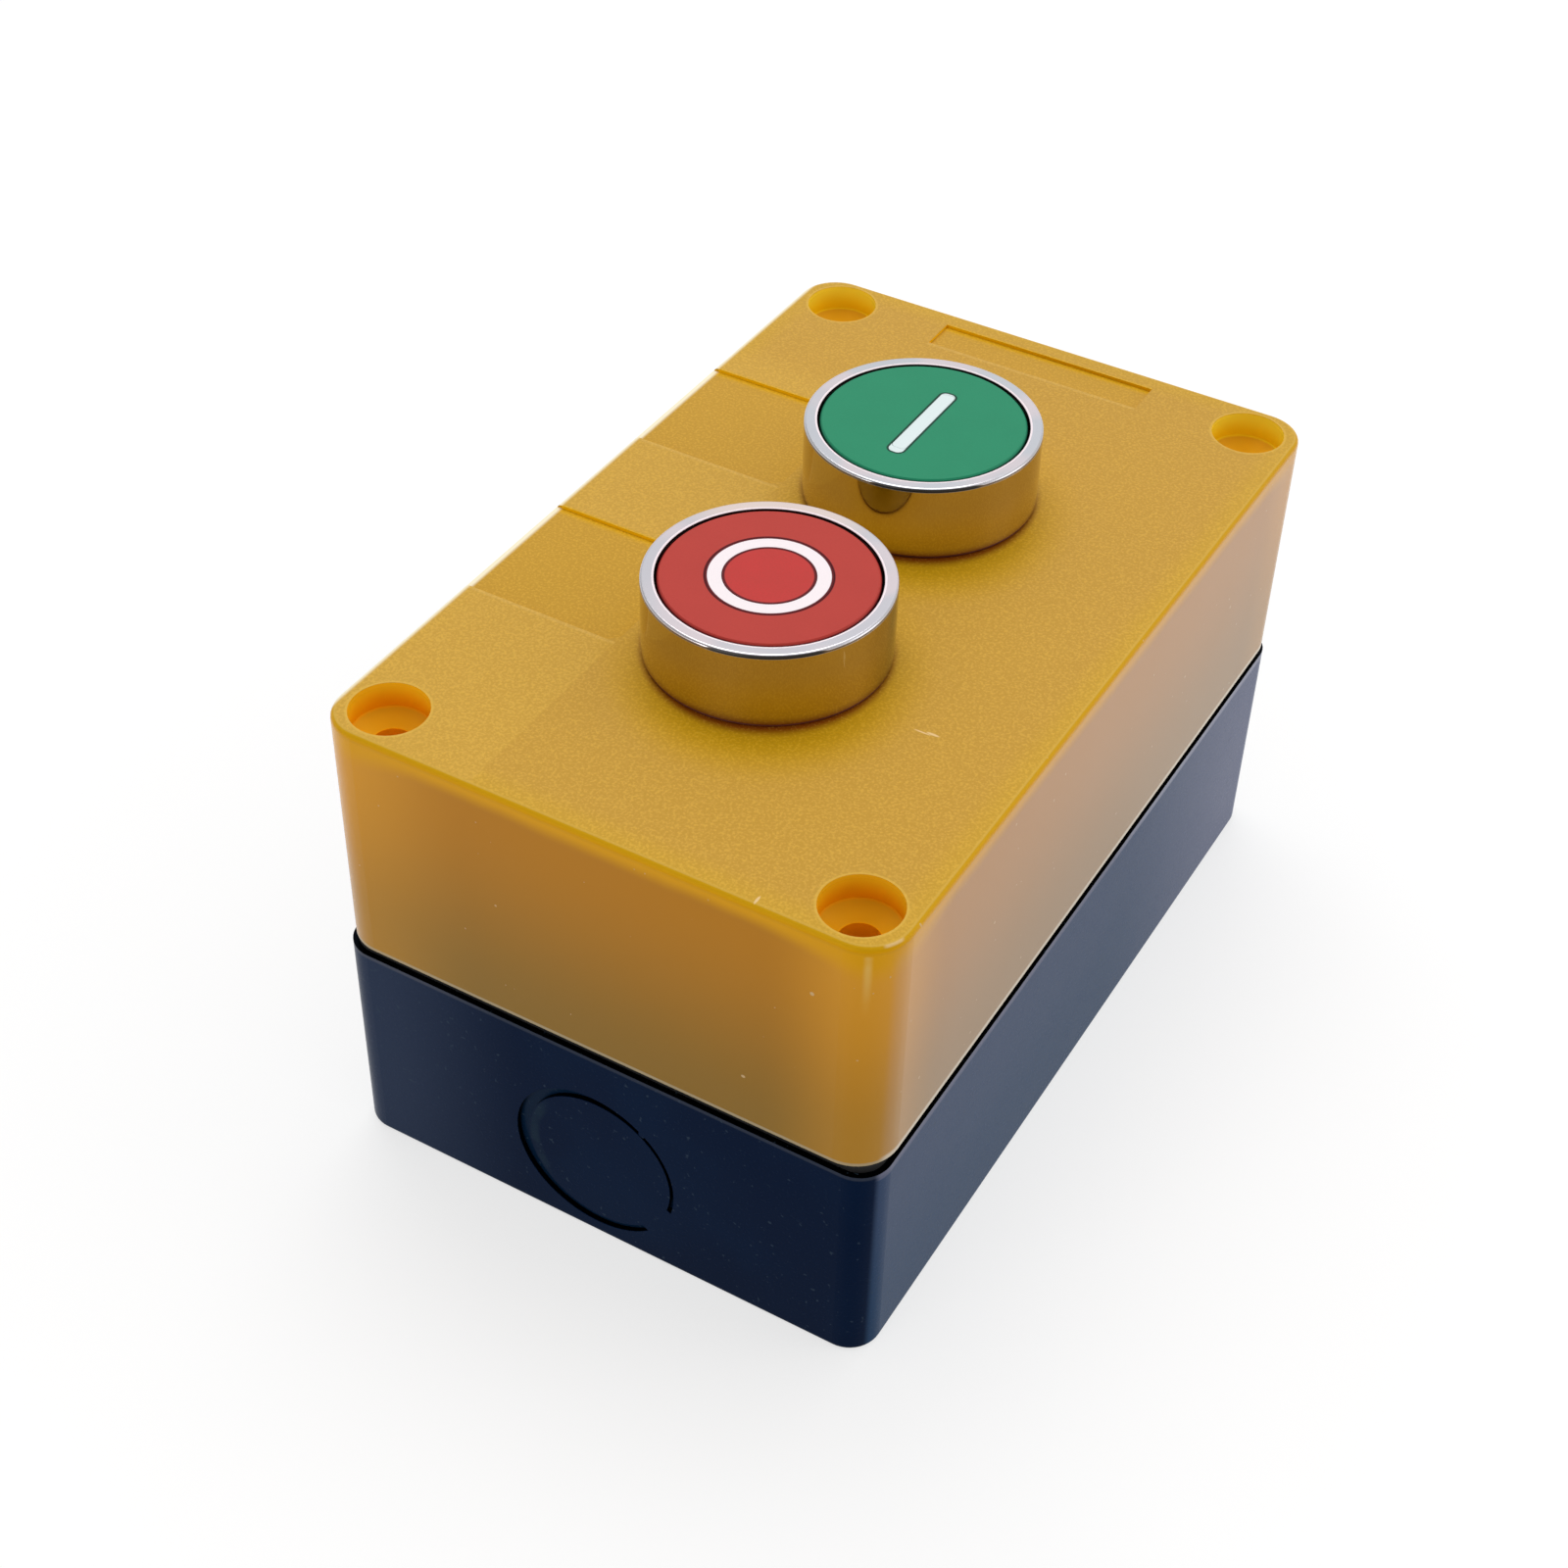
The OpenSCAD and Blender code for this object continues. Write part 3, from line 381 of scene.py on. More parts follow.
def makeCoverPlastic(s):
    material, tree, shader = newFinish("coverPlastic", IOR=s["ior"], Specular_Tint=s["tint"])
    coords, x, y, z = placeOf(tree)
    ax, ay = abs(x), abs(y)
    dx, dy, dz = s["halfWidth"] - ax, s["halfLength"] - ay, s["height"] - z
    above = z - s["low"]
    nearSide = insideOf(ax, ay, s["halfWidth"], s["halfLength"], s["cornerRadius"])
    farSide = larger(dx, dy)
    fromCorner = (s["halfWidth"] - s["halfLength"]) - (x + y)   # across the corner nearest to the camera

    # sides: painted light and shade, paler and browner low down, with a painted glow brighter towards the
    # top, the corners and the top edge, and a painted darker line under the glowing band
    side = blendOf(fade(z, s["low"], s["height"] - s["sideHighDepth"]), s["sideLow"], s["sideHigh"])
    cornerWide = fade(x, *s["leftFade"], *s["cornerReach"])
    atCorner = fade(farSide, cornerWide, s["cornerFull"]) * fade(above, *s["cornerRise"])
    side = laid(side, atCorner, s["sideCorner"])
    waveSize, waveDepth = s["bandWaves"]
    bandDepth = fade(farSide, *s["bandDepth"]) + noiseOf(coords, waveSize) * waveDepth
    side = laid(side, fade(dz, *[bandDepth * share for share in s["bandFade"]]), s["sideBand"])
    side = laid(side, band(dz, *s["stepLineBand"]), s["stepLine"])
    side = laid(side, fade(dz, *s["edgeHighFade"]), s["edgeHigh"])
    # painted reflection: a pale sheen on the long sides below the top edge, weaker at the near end
    onLong = fade(dx, *s["longFade"])
    side = laid(side, onLong * fade(dz, *s["longDepth"]) * fade(y, *s["longAlong"]), s["longSide"])
    # painted highlights: pale lines along the lower edge, paler on the long sides
    side = laid(side, fade(above, *s["lowLineFade"]), s["lowLine"])
    side = laid(side, onLong * fade(above, *s["lowLongFade"]), s["lowLineLong"])
    # painted highlight: a pale streak down the near corner, broken up by noise
    streakHighlight = band(fromCorner, *s["streakHighlightBand"]) * fade(x, *s["streakHighlightRight"]) * fade(farSide, *s["streakHighlightCorner"])
    for limits in s["streakHighlightDepth"]:
        streakHighlight *= fade(dz, *limits)
    side = laid(side, streakHighlight * cloudsOf(coords, *s["scuffAndStreakNoise"]), s["scuffAndStreakHighlight"])
    side = laid(side, cloudsOf(coords, *s["speckNoise"]), s["speck"])

    # top: a paler margin along the edges and a lighter strip left of the recesses, both painted glow, and
    # smooth recesses with a painted glow and a painted highlight at their steps
    top = laid(s["top"], fade(nearSide, *s["topEdgeFade"]), s["topEdge"])
    left = fade(x - s["recessX"], *s["recessSoft"])
    middle = fade(ax - s["endRecessX"], *s["recessSoft"])
    recesses = [(c - s["recessHalf"], c + s["recessHalf"], left) for c in (-s["recessY"], s["recessY"])]
    recesses.append((*s["endRecessY"], middle))
    recessed, glowing, stepHighlit = 0.0, 0.0, 0.0
    for low, high, across in recesses:
        rise, fall = [fade(y - high, *limits) for limits in s["stepGlowFade"]]
        recessed = larger(recessed, across * band(y, low, high, s["recessBlur"]))
        glowing = larger(glowing, across * rise * fall)
        stepHighlit = larger(stepHighlit, across * band(y - low, *s["stepEdgeHighlightBand"]))
    sunk = recessed * fade(dz, *s["sunkDepth"])
    top = laid(top, left * (1.0 - recessed) * fade(y, *s["stripFade"]), s["strip"])
    top = laid(top, sunk, s["recess"])
    top = laid(top, glowing, s["stepGlow"])
    top = laid(top, stepHighlit, s["stepEdgeHighlight"])
    # painted soft shadows round each bezel, reaching further on the side where the shade falls: a wide amber
    # glow for light through the plastic in the shade, and a dark contact shadow at the foot
    for centre in buttonY.values():
        away = y - centre * mm
        reach = lengthOf(x, away)
        ahead = (x * s["shadeWay"][0] + away * s["shadeWay"][1]) / reach
        square = larger(ahead, 0.0)
        square *= square
        for kind in ("glow", "contact"):
            near, far = [square * more + least for more, least in zip(s[kind + "More"], s[kind + "Reach"])]
            top = laid(top, fade(reach, far, near) * fade(ahead, *s[kind + "Share"]), s[kind])
    grain = noiseOf(coords, *s["grain"])
    speckle = fade(grain, *s["grainContrast"])
    top = laid(top, larger(speckle, 0.0), s["grainPale"])
    top = laid(top, larger(-speckle, 0.0), s["grainDark"])

    # the two together, with a painted highlight line round the top
    slope = partsOf(tree, tree.nodes.new("ShaderNodeTexCoord").outputs["Normal"])[2]
    colour = blendOf(fade(slope, *s["levelSlope"]) * fade(dz, *s["levelDepth"]), side, top)
    rim = band(slope, *s["rimSlope"]) * fade(dz, *s["rimDepth"]) * fade(nearSide, *s["rimFade"])
    colour = laid(colour, rim, s["rimHighlight"])
    # painted highlight: a pale margin along the left top edge
    leftRim = fade(x + s["halfWidth"], *s["leftRimFade"]) * fade(slope, *s["leftRimSlope"])
    colour = laid(colour, leftRim * fade(dz, *s["leftRimDepth"]), s["leftRim"])
    glint = band(nearSide, *s["glintEdge"]) * band(fromCorner, *s["glintBand"])
    colour = laid(colour, glint * fade(dz, *s["glintDepth"]) * fade(x, *s["glintRight"]), s["glint"])
    # painted glow on the faces of the recess steps
    colour = laid(colour, fade(nearSide, *s["innerFade"]) * band(dz, *s["stepFaceBand"]), s["stepFace"])
    for mark in s["marks"]:
        far = 0.0
        for axis, centre, half in zip((x, y, z), mark[:3], mark[3:]):
            away = (axis - centre * mm) / (half * mm)
            far += away * away
        colour = laid(colour, fade(far, *s["markFade"]), s["mark"])

    # screw wells: painted glow of light through their walls, brighter at the rim and towards the far end,
    # darker deeper down, with painted shade on the near right wells
    reach = lengthOf(ax - s["screwX"], ay - s["screwY"])
    fromWall = reach - s["wellRadius"]
    farEnd = fade(y, *s["middleFade"])
    wellRim, wellWall = [blendOf(farEnd, s[kind], s[kind + "Far"]) for kind in ("wellRim", "wellWall")]
    well = blendOf(fade(dz, *s["wellDepth"]), wellRim, wellWall)
    well = laid(well, fade(fromWall, *s["wellFloorFade"]), s["wellFloor"])
    well = laid(well, fade(reach - s["holeRadius"], *s["wellHoleFade"]), s["wellHole"])
    well = laid(well, fade(x, *s["middleFade"]) * (1.0 - farEnd), s["wellShade"])
    # painted highlight: a pale ring round each well's rim
    colour = laid(colour, band(fromWall, *s["wellEdgeBand"]) * fade(dz, *s["wellEdgeDepth"]), s["wellEdge"])
    colour = blendOf(fade(fromWall, *s["wellInside"]) * fade(dz, *s["wellInsideDepth"]), colour, well)
    feed(shader["Base Color"], colour)

    # grain on the top face, slow waves everywhere
    flat = fade(dz, *s["flatDepth"]) * (1.0 - sunk)
    plain, onFlat, onGrain, onSunk = s["rough"]
    feed(shader["Roughness"], flat * onFlat + plain + grain * onGrain + sunk * onSunk)
    feed(shader["Normal"], bumpOf(grain * flat, s["grainBump"], 1.0, wavesOf(coords, *s["waves"])))
    return material


dress("cover", makeCoverPlastic(coverPlastic))


# Base plastic: dark navy, satin, hazed by handling, with painted reflections and highlights; its knockouts
# have a tear groove with painted shade and a painted highlight crescent
basePlastic = {
    "ior": 1.10,
    "tint": (0.1, 0.4, 1.0, 1),
    "halfWidth": 34 * mm,
    "endFace": 53.5 * mm,
    "body": (0.0006, 0.0085, 0.0360, 1),
    "haze": (0.0012, 0.0122, 0.0455, 1),
    "hazeNoise": ((16 * mm, 3), (0.35, 0.75)),
    "leftEndReflection": (0.0360, 0.0550, 0.1080, 0.85),
    "leftEndReflectionFade": (-8 * mm, -31 * mm),

    # long sides: a painted reflection, paler than the front and brighter upwards and towards the far end
    "longFade": (0.8 * mm, 0.3 * mm),
    "longFoot": (0.0230, 0.0660, 0.1520, 1),
    "longSide": (0.0520, 0.0880, 0.1770, 1),
    "longRise": (3 * mm, 27 * mm),
    "farEnd": (0.1650, 0.1880, 0.3050, 1),
    "farFade": (5 * mm, 53 * mm),

    # painted highlight: pale line along the upper edge; painted shade: the dark ledge above it
    "topLine": (0.0480, 0.0580, 0.0860, 1),
    "topLineLeft": (0.1000, 0.1080, 0.1420, 1),
    "topLineLong": (0.2300, 0.2350, 0.3300, 1),
    "topLineFar": (0.4600, 0.4700, 0.5800, 1),
    "lineLeft": (-8 * mm, -28 * mm),
    "lineFar": (0.0, 20 * mm),
    "lineBand": (28.50 * mm, 29.05 * mm, 0.15 * mm),
    "lineShare": 0.8,
    "lowBand": (28.0 * mm, 28.6 * mm, 0.15 * mm),
    "lowShare": 0.6,
    "ledge": (0.0006, 0.0006, 0.0008, 1),
    "ledgeFade": (28.94 * mm, 28.99 * mm),

    # knockouts, measured in from the end face
    "knockout": (0.05 * mm, 12.5 * mm),   # the disc's middle
    "tearReach": (11.8 * mm, 11.6 * mm),
    "tearDepth": (1.0 * mm, 0.8 * mm),
    "tearWall": (0.0004, 0.0006, 0.0010, 1),
    "tearWallDepth": (0.04 * mm, 0.1 * mm),
    "tearFloor": (0.0040, 0.0180, 0.0480, 1),
    "tearFloorDepth": (0.62 * mm, 0.67 * mm),
    "crescent": (0.0150, 0.0360, 0.0580, 0.6),
    "crescentBand": (8.0 * mm, 9.15 * mm, 0.3 * mm),
    "crescentLeft": (-6.0 * mm, -8.0 * mm),
    "crescentDepth": (0.05 * mm, 0.0),
    "crescentNoise": ((2.5 * mm, 2), (0.3, 0.6, 0.3, 1.0)),

    "scuffAndStreakHighlight": (0.0500, 0.0800, 0.1200, 0.5),
    "scuffAndStreakNoise": ((0.7 * mm, 1), (0.70, 0.80)),
    "grain": 0.45 * mm,
    "rough": (0.20, 0.12),   # plain, and more with the grain
    "grainBump": 0.004 * mm,
    "waves": ((11 * mm, 1), 0.10 * mm, 0.4),
}


def makeBasePlastic(s):
    material, tree, shader = newFinish("basePlastic", IOR=s["ior"], Specular_Tint=s["tint"])
    coords, x, y, z = placeOf(tree)
    colour = blendOf(cloudsOf(coords, *s["hazeNoise"]), s["body"], s["haze"])
    # painted reflection: the base lighter towards its left end
    colour = laid(colour, fade(x, *s["leftEndReflectionFade"]), s["leftEndReflection"])
    onLong = fade(s["halfWidth"] - x, *s["longFade"])
    long = blendOf(fade(z, *s["longRise"]), s["longFoot"], s["longSide"])
    colour = blendOf(onLong, colour, laid(long, fade(y, *s["farFade"]), s["farEnd"]))
    # painted highlights: pale lines along the upper edge and, on the long sides, a second one below it
    endLine = blendOf(fade(x, *s["lineLeft"]), s["topLine"], s["topLineLeft"])
    topLine = blendOf(onLong, endLine, blendOf(fade(y, *s["lineFar"]), s["topLineLong"], s["topLineFar"]))
    colour = blendOf(band(z, *s["lineBand"]) * s["lineShare"], colour, topLine)
    colour = blendOf(onLong * band(z, *s["lowBand"]) * s["lowShare"], colour, topLine)
    # painted shade: the ledge above the base made nearly black
    colour = laid(colour, fade(z, *s["ledgeFade"]), s["ledge"])

    # knockouts at both ends, the rear one turned half round
    middleX, middleZ = s["knockout"]
    kx, kz = x * calc("SIGN", -y) - middleX, z - middleZ
    reach = lengthOf(kx, kz)
    depth = s["endFace"] - abs(y)
    # painted shade on the tear groove's wall and painted light on its floor
    groove = fade(reach, *s["tearReach"]) * fade(depth, *s["tearDepth"])
    colour = laid(colour, groove * fade(depth, *s["tearWallDepth"]), s["tearWall"])
    colour = laid(colour, groove * fade(depth, *s["tearFloorDepth"]), s["tearFloor"])
    # painted highlight: a pale crescent inside the disc's left edge, broken up by noise
    paintedLightMask = band(reach, *s["crescentBand"]) * fade(kx, *s["crescentLeft"]) * fade(depth, *s["crescentDepth"])
    colour = laid(colour, paintedLightMask * cloudsOf(coords, *s["crescentNoise"]), s["crescent"])
    colour = laid(colour, cloudsOf(coords, *s["scuffAndStreakNoise"]), s["scuffAndStreakHighlight"])
    feed(shader["Base Color"], colour)
    grain = noiseOf(coords, s["grain"])
    plain, onGrain = s["rough"]
    feed(shader["Roughness"], grain * onGrain + plain)
    feed(shader["Normal"], bumpOf(grain, s["grainBump"], 1.0, wavesOf(coords, *s["waves"])))
    return material


dress("base", makeBasePlastic(basePlastic))


# Caps: fine matt plastic with a thin dark line round the inlaid symbol
stopCap = {
    "colour": (0.484, 0.050, 0.038, 1), "middle": (0.546, 0.042, 0.038, 1),
    "outline": (0.110, 0.004, 0.008, 1), "white": (0.93, 0.840, 0.865, 1),
    "ring": (5.03 * mm, 6.55 * mm), "line": 0.40 * mm, "lineInner": 0.32 * mm,
}
startCap = {
    "colour": (0.020, 0.258, 0.132, 1), "middle": (0.020, 0.258, 0.132, 1),
    "outline": (0.004, 0.050, 0.030, 1), "white": (0.72, 0.82, 0.82, 1),
    "barHalf": (0.90 * mm, 6.9 * mm), "barShift": -0.35 * mm, "barCorner": 0.72 * mm, "line": 0.26 * mm,
}
capPlastic = {
    "rough": 0.38,
    "ior": 1.2,
    "middleFade": (5.4 * mm, 4.6 * mm),
    "grain": 0.22 * mm,
    "grainBump": 0.006 * mm,
    "cloud": 5 * mm,
    "cloudFade": (0.80, 1.24, 0.35, 0.0),
    "darker": 0.90,
    "edgeFade": (11.71 * mm, 11.81 * mm, 0.0, 0.8),
    "soft": 0.04 * mm,
    "lineSoft": 0.06 * mm,
}


def symbolOf(s, look, x, y, reach):
    # shares of white and of the dark line round it, the same on the cap and on the inlay
    soft, lineSoft = s["soft"], s["lineSoft"]
    if "ring" in look:
        low, high = look["ring"]
        white = band(reach, low, high, soft)
        wide = band(reach, low - look["lineInner"], high + look["line"], lineSoft)
    else:
        inside = insideOf(abs(x), abs(y - look["barShift"]), *look["barHalf"], look["barCorner"])
        white = fade(inside, -soft, soft)
        wide = fade(inside + look["line"], -lineSoft, lineSoft)
    return white, wide


def makeCapPlastic(button, look, s):
    material, tree, shader = newFinish(button + "CapPlastic", Roughness=s["rough"], IOR=s["ior"])
    coords, x, y, _ = placeOf(tree, (0, buttonY[button] * mm, 0))
    reach = lengthOf(x, y)
    colour = blendOf(fade(reach, *s["middleFade"]), look["colour"], look["middle"])
    grain, cloud = noiseOf(coords, s["grain"]), noiseOf(coords, s["cloud"])
    darker = tuple(v * s["darker"] for v in look["colour"][:3]) + (1,)
    colour = blendOf(fade(grain + cloud, *s["cloudFade"]), colour, darker)
    # painted shade: the cap's outer edge darkened at the gap round it
    colour = blendOf(fade(reach, *s["edgeFade"]), colour, look["outline"])
    white, wide = symbolOf(s, look, x, y, reach)
    feed(shader["Base Color"], blendOf(white, blendOf(wide, colour, look["outline"]), look["white"]))
    feed(shader["Normal"], bumpOf(grain, s["grainBump"]))
    return material


for button, look in (("stop", stopCap), ("start", startCap)):
    material = makeCapPlastic(button, look, capPlastic)
    dress(button + "_cap", material)
    dress(button + "_symbol", material)
print("cover, base and caps dressed")


# Plain finishes of the smaller pieces: colour, roughness, metal, size of their grain

def srgb(r, g, b):
    def linear(v):
        v /= 255
        return v / 12.92 if v <= 0.04045 else ((v + 0.055) / 1.055) ** 2.4
    return (linear(r), linear(g), linear(b), 1)


smallFinishes = {
    "rubber": {"colour": srgb(9, 7, 8), "rough": 0.8, "metal": 0.0, "grain": 0.3 * mm},
    "nut_metal": {"colour": srgb(186, 184, 178), "rough": 0.38, "metal": 1.0, "grain": 0.4 * mm},
    "white_plastic": {"colour": srgb(224, 222, 210), "rough": 0.45, "metal": 0.0, "grain": 0.5 * mm,
                      "darker": 0.965},
    "carrier_plastic": {"colour": srgb(46, 48, 51), "rough": 0.5, "metal": 0.0, "grain": 0.4 * mm},
    "red_housing": {"colour": srgb(172, 46, 38), "rough": 0.45, "metal": 0.0, "grain": 0.4 * mm},
    "green_housing": {"colour": srgb(26, 122, 84), "rough": 0.45, "metal": 0.0, "grain": 0.4 * mm},
    "steel": {"colour": srgb(190, 192, 194), "rough": 0.3, "metal": 1.0, "grain": 0.6 * mm},
    "spring_steel": {"colour": srgb(176, 178, 182), "rough": 0.22, "metal": 1.0, "grain": 0.8 * mm},
    "brass": {"colour": srgb(210, 170, 96), "rough": 0.3, "metal": 1.0, "grain": 0.8 * mm},
    "copper": {"colour": srgb(208, 136, 96), "rough": 0.3, "metal": 1.0, "grain": 0.8 * mm},
}
finishGrain = {
    "ior": 1.45,
    "detail": 3,
    "contrast": (0.3, 0.7),
    "darker": 0.86,        # how dark the grain's dark places are
    "rough": (0.85, 0.3),  # shares of the finish's roughness: least, and more with the grain
    "bump": (0.02, 0.5),   # depth as a share of the grain's size, strength
}


def makeFinish(name, look, s):
    material, tree, shader = newFinish(name, Metallic=look["metal"], IOR=s["ior"])
    grain = noiseOf(placeOf(tree)[0], look["grain"], s["detail"])
    darker = look.get("darker", s["darker"])
    dark = tuple(v * darker for v in look["colour"][:3]) + (1,)
    least, more = [look["rough"] * share for share in s["rough"]]
    depth, strength = s["bump"]
    feed(shader["Base Color"], blendOf(fade(grain, *s["contrast"]), dark, look["colour"]))
    feed(shader["Roughness"], grain * more + least)
    feed(shader["Normal"], bumpOf(grain, look["grain"] * depth, strength))
    return material


# Chrome: bluish rim with warm clouds, a side painted amber as a painted reflection of the cover it mirrors,
# and a painted dark line under the rim
chromePlate = {
    # "Height" is over the wall, "Reach" is out from the button's axis, "Along" is from that axis towards +Y
    "rim": {"stop": (0.58, 0.57, 0.62, 1), "start": (0.56, 0.58, 0.63, 1)},
    "rimChange": (-1 * mm, 1 * mm),
    "warmRim": (0.74, 0.63, 0.66, 0.7),
    "warmNoise": ((9 * mm, 1), (0.45, 0.62)),
    "side": (0.49, 0.39, 0.18, 1),
    "sideFoot": (0.64, 0.50, 0.24, 1),
    "footFade": (68.5 * mm, 61.5 * mm),
    "sideFade": ((70.50 * mm, 70.30 * mm), (61.4 * mm, 61.6 * mm)),
    "cloud": (6 * mm, 3),
    "cloudWhite": (1, 1, 1, 0.1),
    "highFade": (70.40 * mm, 70.50 * mm),
    "ownReach": (15 * mm, 14.5 * mm),
    "front": (0.487, -0.873),   # the way towards the camera
    "nearFade": (12.0 * mm, 12.5 * mm),

    # top: a painted warm reflection on the far part of the rim, painted shade on its rougher edge, a painted
    # highlight ring inside it with painted shade in the gap below
    "farRim": {"stop": (0.78, 0.66, 0.62, 1)},
    "farRimWay": (-0.42, 0.91),
    "farRimFade": (0.6, 0.95),
    "edge": (0.46, 0.45, 0.46, 0.6),
    "edgeFade": (-2 * mm, 4 * mm),
    "edgeReach": (13.38 * mm, 14.5 * mm, 0.04 * mm),
    "edgeHeight": (70.66 * mm, 70.74 * mm),
    "inner": (0.93, 0.80, 0.84, 1),
    "innerReach": ((12.41 * mm, 12.35 * mm), (11.9 * mm, 12.1 * mm)),
    "gap": (0.010, 0.003, 0.004, 1),
    "gapHeight": (70.81 * mm, 70.87 * mm),

    # side: painted shade, darker at the right and where it faces the other bezel
    "flank": {"stop": (0.27, 0.21, 0.10, 0.8), "start": (0.27, 0.21, 0.10, 0.1)},
    "flankRight": (10 * mm, 12 * mm),
    "flankAlong": (-4.5 * mm, 4 * mm),
    "flankHigh": {"stop": (0.06, 0.06, 0.04, 0.8)},
    "flankHighAlong": (0.5 * mm, 3.5 * mm),
    "flankHighRise": (62 * mm, 68.5 * mm),
    "between": {"stop": (0.50, 0.48, 0.40, 1)},
    "betweenAlong": (5 * mm, 11 * mm),

    # dark line in the groove, painted shade, higher and blacker near the camera
    "line": (0.008, 0.005, 0.003, 1),
    "lineAround": (0.200, 0.120, 0.045, 1),
    "lineHeight": (70.42 * mm, 70.66 * mm, 0.03 * mm),
    "lineMore": 0.16 * mm,
    "lineReach": (13.3 * mm, 14.5 * mm, 0.05 * mm),

    # roughness, with the dull ring and line left without metal
    "polish": (0.35, 0.7, 0.035, 0.085),
    "edgeRough": 0.22,
    "dullRough": 0.3,
}


def makeChrome(s):
    material, tree, shader = newFinish("chromePlate")
    coords, x, y, z = placeOf(tree)
    cloud = noiseOf(coords, *s["cloud"])
    rim = blendOf(fade(y, *s["rimChange"]), s["rim"]["stop"], s["rim"]["start"])
    rim = laid(rim, cloudsOf(coords, *s["warmNoise"]), s["warmRim"])
    # painted reflection: the side's metal coloured amber like the cover it mirrors, brighter towards the foot
    below, above = [fade(z, *limits) for limits in s["sideFade"]]
    onSide = below * above
    colour = blendOf(onSide, rim, blendOf(fade(z, *s["footFade"]), s["side"], s["sideFoot"]))
    colour = laid(colour, cloud, s["cloudWhite"])
    high = fade(z, *s["highFade"])
    dull, paintedLightMask = 0.0, 0.0
    for button, centre in buttonY.items():
        dy = y - centre * mm
        reach = lengthOf(x, dy)
        own = fade(reach, *s["ownReach"])
        facing = x * s["front"][0] + dy * s["front"][1]
        near = fade(facing, *s["nearFade"])
        # painted reflection: a warm tint on the far part of the stop rim
        if button in s["farRim"]:
            back = (x * s["farRimWay"][0] + dy * s["farRimWay"][1]) / reach
            colour = laid(colour, high * fade(back, *s["farRimFade"]) * own, s["farRim"][button])
        # painted shade: the rim's outer edge darker and rougher away from the camera side
        edge = fade(z, *s["edgeHeight"]) * band(reach, *s["edgeReach"]) * (1.0 - near)
        colour = laid(colour, edge * fade(facing, *s["edgeFade"]), s["edge"])
        # painted highlight: a pale ring without metal inside the rim; painted shade in the gap below it
        outer, within = [fade(reach, *limits) for limits in s["innerReach"]]
        inner = outer * within * high
        colour = blendOf(inner, colour, blendOf(fade(z, *s["gapHeight"]), s["gap"], s["inner"]))
        # painted shade on the flank and where the bezel faces the other one
        flank = onSide * fade(x, *s["flankRight"]) * fade(dy, *s["flankAlong"]) * own
        colour = laid(colour, flank, s["flank"][button])
        if button in s["flankHigh"]:
            raised = flank * fade(dy, *s["flankHighAlong"]) * fade(z, *s["flankHighRise"])
            colour = laid(colour, raised, s["flankHigh"][button])
        if button in s["between"]:
            colour = laid(colour, onSide * fade(dy, *s["betweenAlong"]) * own, s["between"][button])
        # painted shade: a near black line in the groove near the camera, brown elsewhere
        lineLow, lineHigh, soft = s["lineHeight"]
        line = fade(z, lineLow - soft, lineLow + soft) * band(reach, *s["lineReach"])
        line *= fade(z - (near * s["lineMore"] + lineHigh), soft, -soft)
        colour = blendOf(line, colour, blendOf(near, s["lineAround"], s["line"]))
        dull += inner + line
        paintedLightMask += edge
    feed(shader["Base Color"], colour)
    feed(shader["Metallic"], 1.0 - dull)
    feed(shader["Roughness"], fade(cloud, *s["polish"]) + paintedLightMask * s["edgeRough"] + dull * s["dullRough"])
    return material


smallMaterials = {name: makeFinish(name, look, finishGrain) for name, look in smallFinishes.items()}
smallMaterials["chrome"] = makeChrome(chromePlate)
for entry in frame["record"]["subparts"]:
    if entry["material_slot"] in smallMaterials:
        dress(entry["node"], smallMaterials[entry["material_slot"]])
print("small finishes made")


# Helpers for pieces: their profiles and boxes are in millimetres, with Y counted from the button's axis

def addPiece(name, mesh, material, body, replaced):
    piece = bpy.data.objects.new(name, mesh)
    scene.collection.objects.link(piece)
    mesh.materials.clear()
    mesh.materials.append(material)
    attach(piece, body)
    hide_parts(*replaced)
    return piece


def meshOf(name, work, smoothAngle=None):
    # turns the worked-on mesh into a plain one, smooth up to an angle between its faces, in degrees
    if smoothAngle:
        for edge in work.edges:
            edge.smooth = len(edge.link_faces) == 2 and edge.calc_face_angle(0) < radians(smoothAngle)
        for face in work.faces:
            face.smooth = True
    mesh = bpy.data.meshes.new(name)
    work.to_mesh(mesh)
    work.free()
    return mesh


def turnedMesh(name, profile, centreY, segments, smoothAngle):
    # closed outline of (radius, height) points, counterclockwise, turned about the button's axis
    work = bmesh.new()
    turns = [2 * pi * i / segments for i in range(segments)]
    rings = []
    for radius, height in profile:
        places = [(radius * mm * cos(t), centreY * mm + radius * mm * sin(t), height * mm) for t in turns]
        rings.append([work.verts.new(place) for place in places])
    for ring, after in zip(rings, rings[1:] + rings[:1]):
        for i in range(segments):
            j = (i + 1) % segments
            work.faces.new((ring[i], ring[j], after[j], after[i]))
    work.normal_update()
    return meshOf(name, work, smoothAngle)


def arc(centreR, centreZ, radius, start, end, steps):
    turns = [radians(start + (end - start) * i / steps) for i in range(steps + 1)]
    return [(centreR + radius * cos(turn), centreZ + radius * sin(turn)) for turn in turns]


def boxMesh(name, corners, centreY, softness=None):
    work = bmesh.new()
    for vert in bmesh.ops.create_cube(work, size=1)["verts"]:
        x, y, z = [corners[0][k] if v < 0 else corners[1][k] for k, v in enumerate(vert.co)]
        vert.co = (x * mm, (y + centreY) * mm, z * mm)
    if softness:
        bmesh.ops.bevel(work, geom=list(work.edges), offset=softness * mm, segments=2,
                        profile=0.5, affect="EDGES")
    return meshOf(name, work)


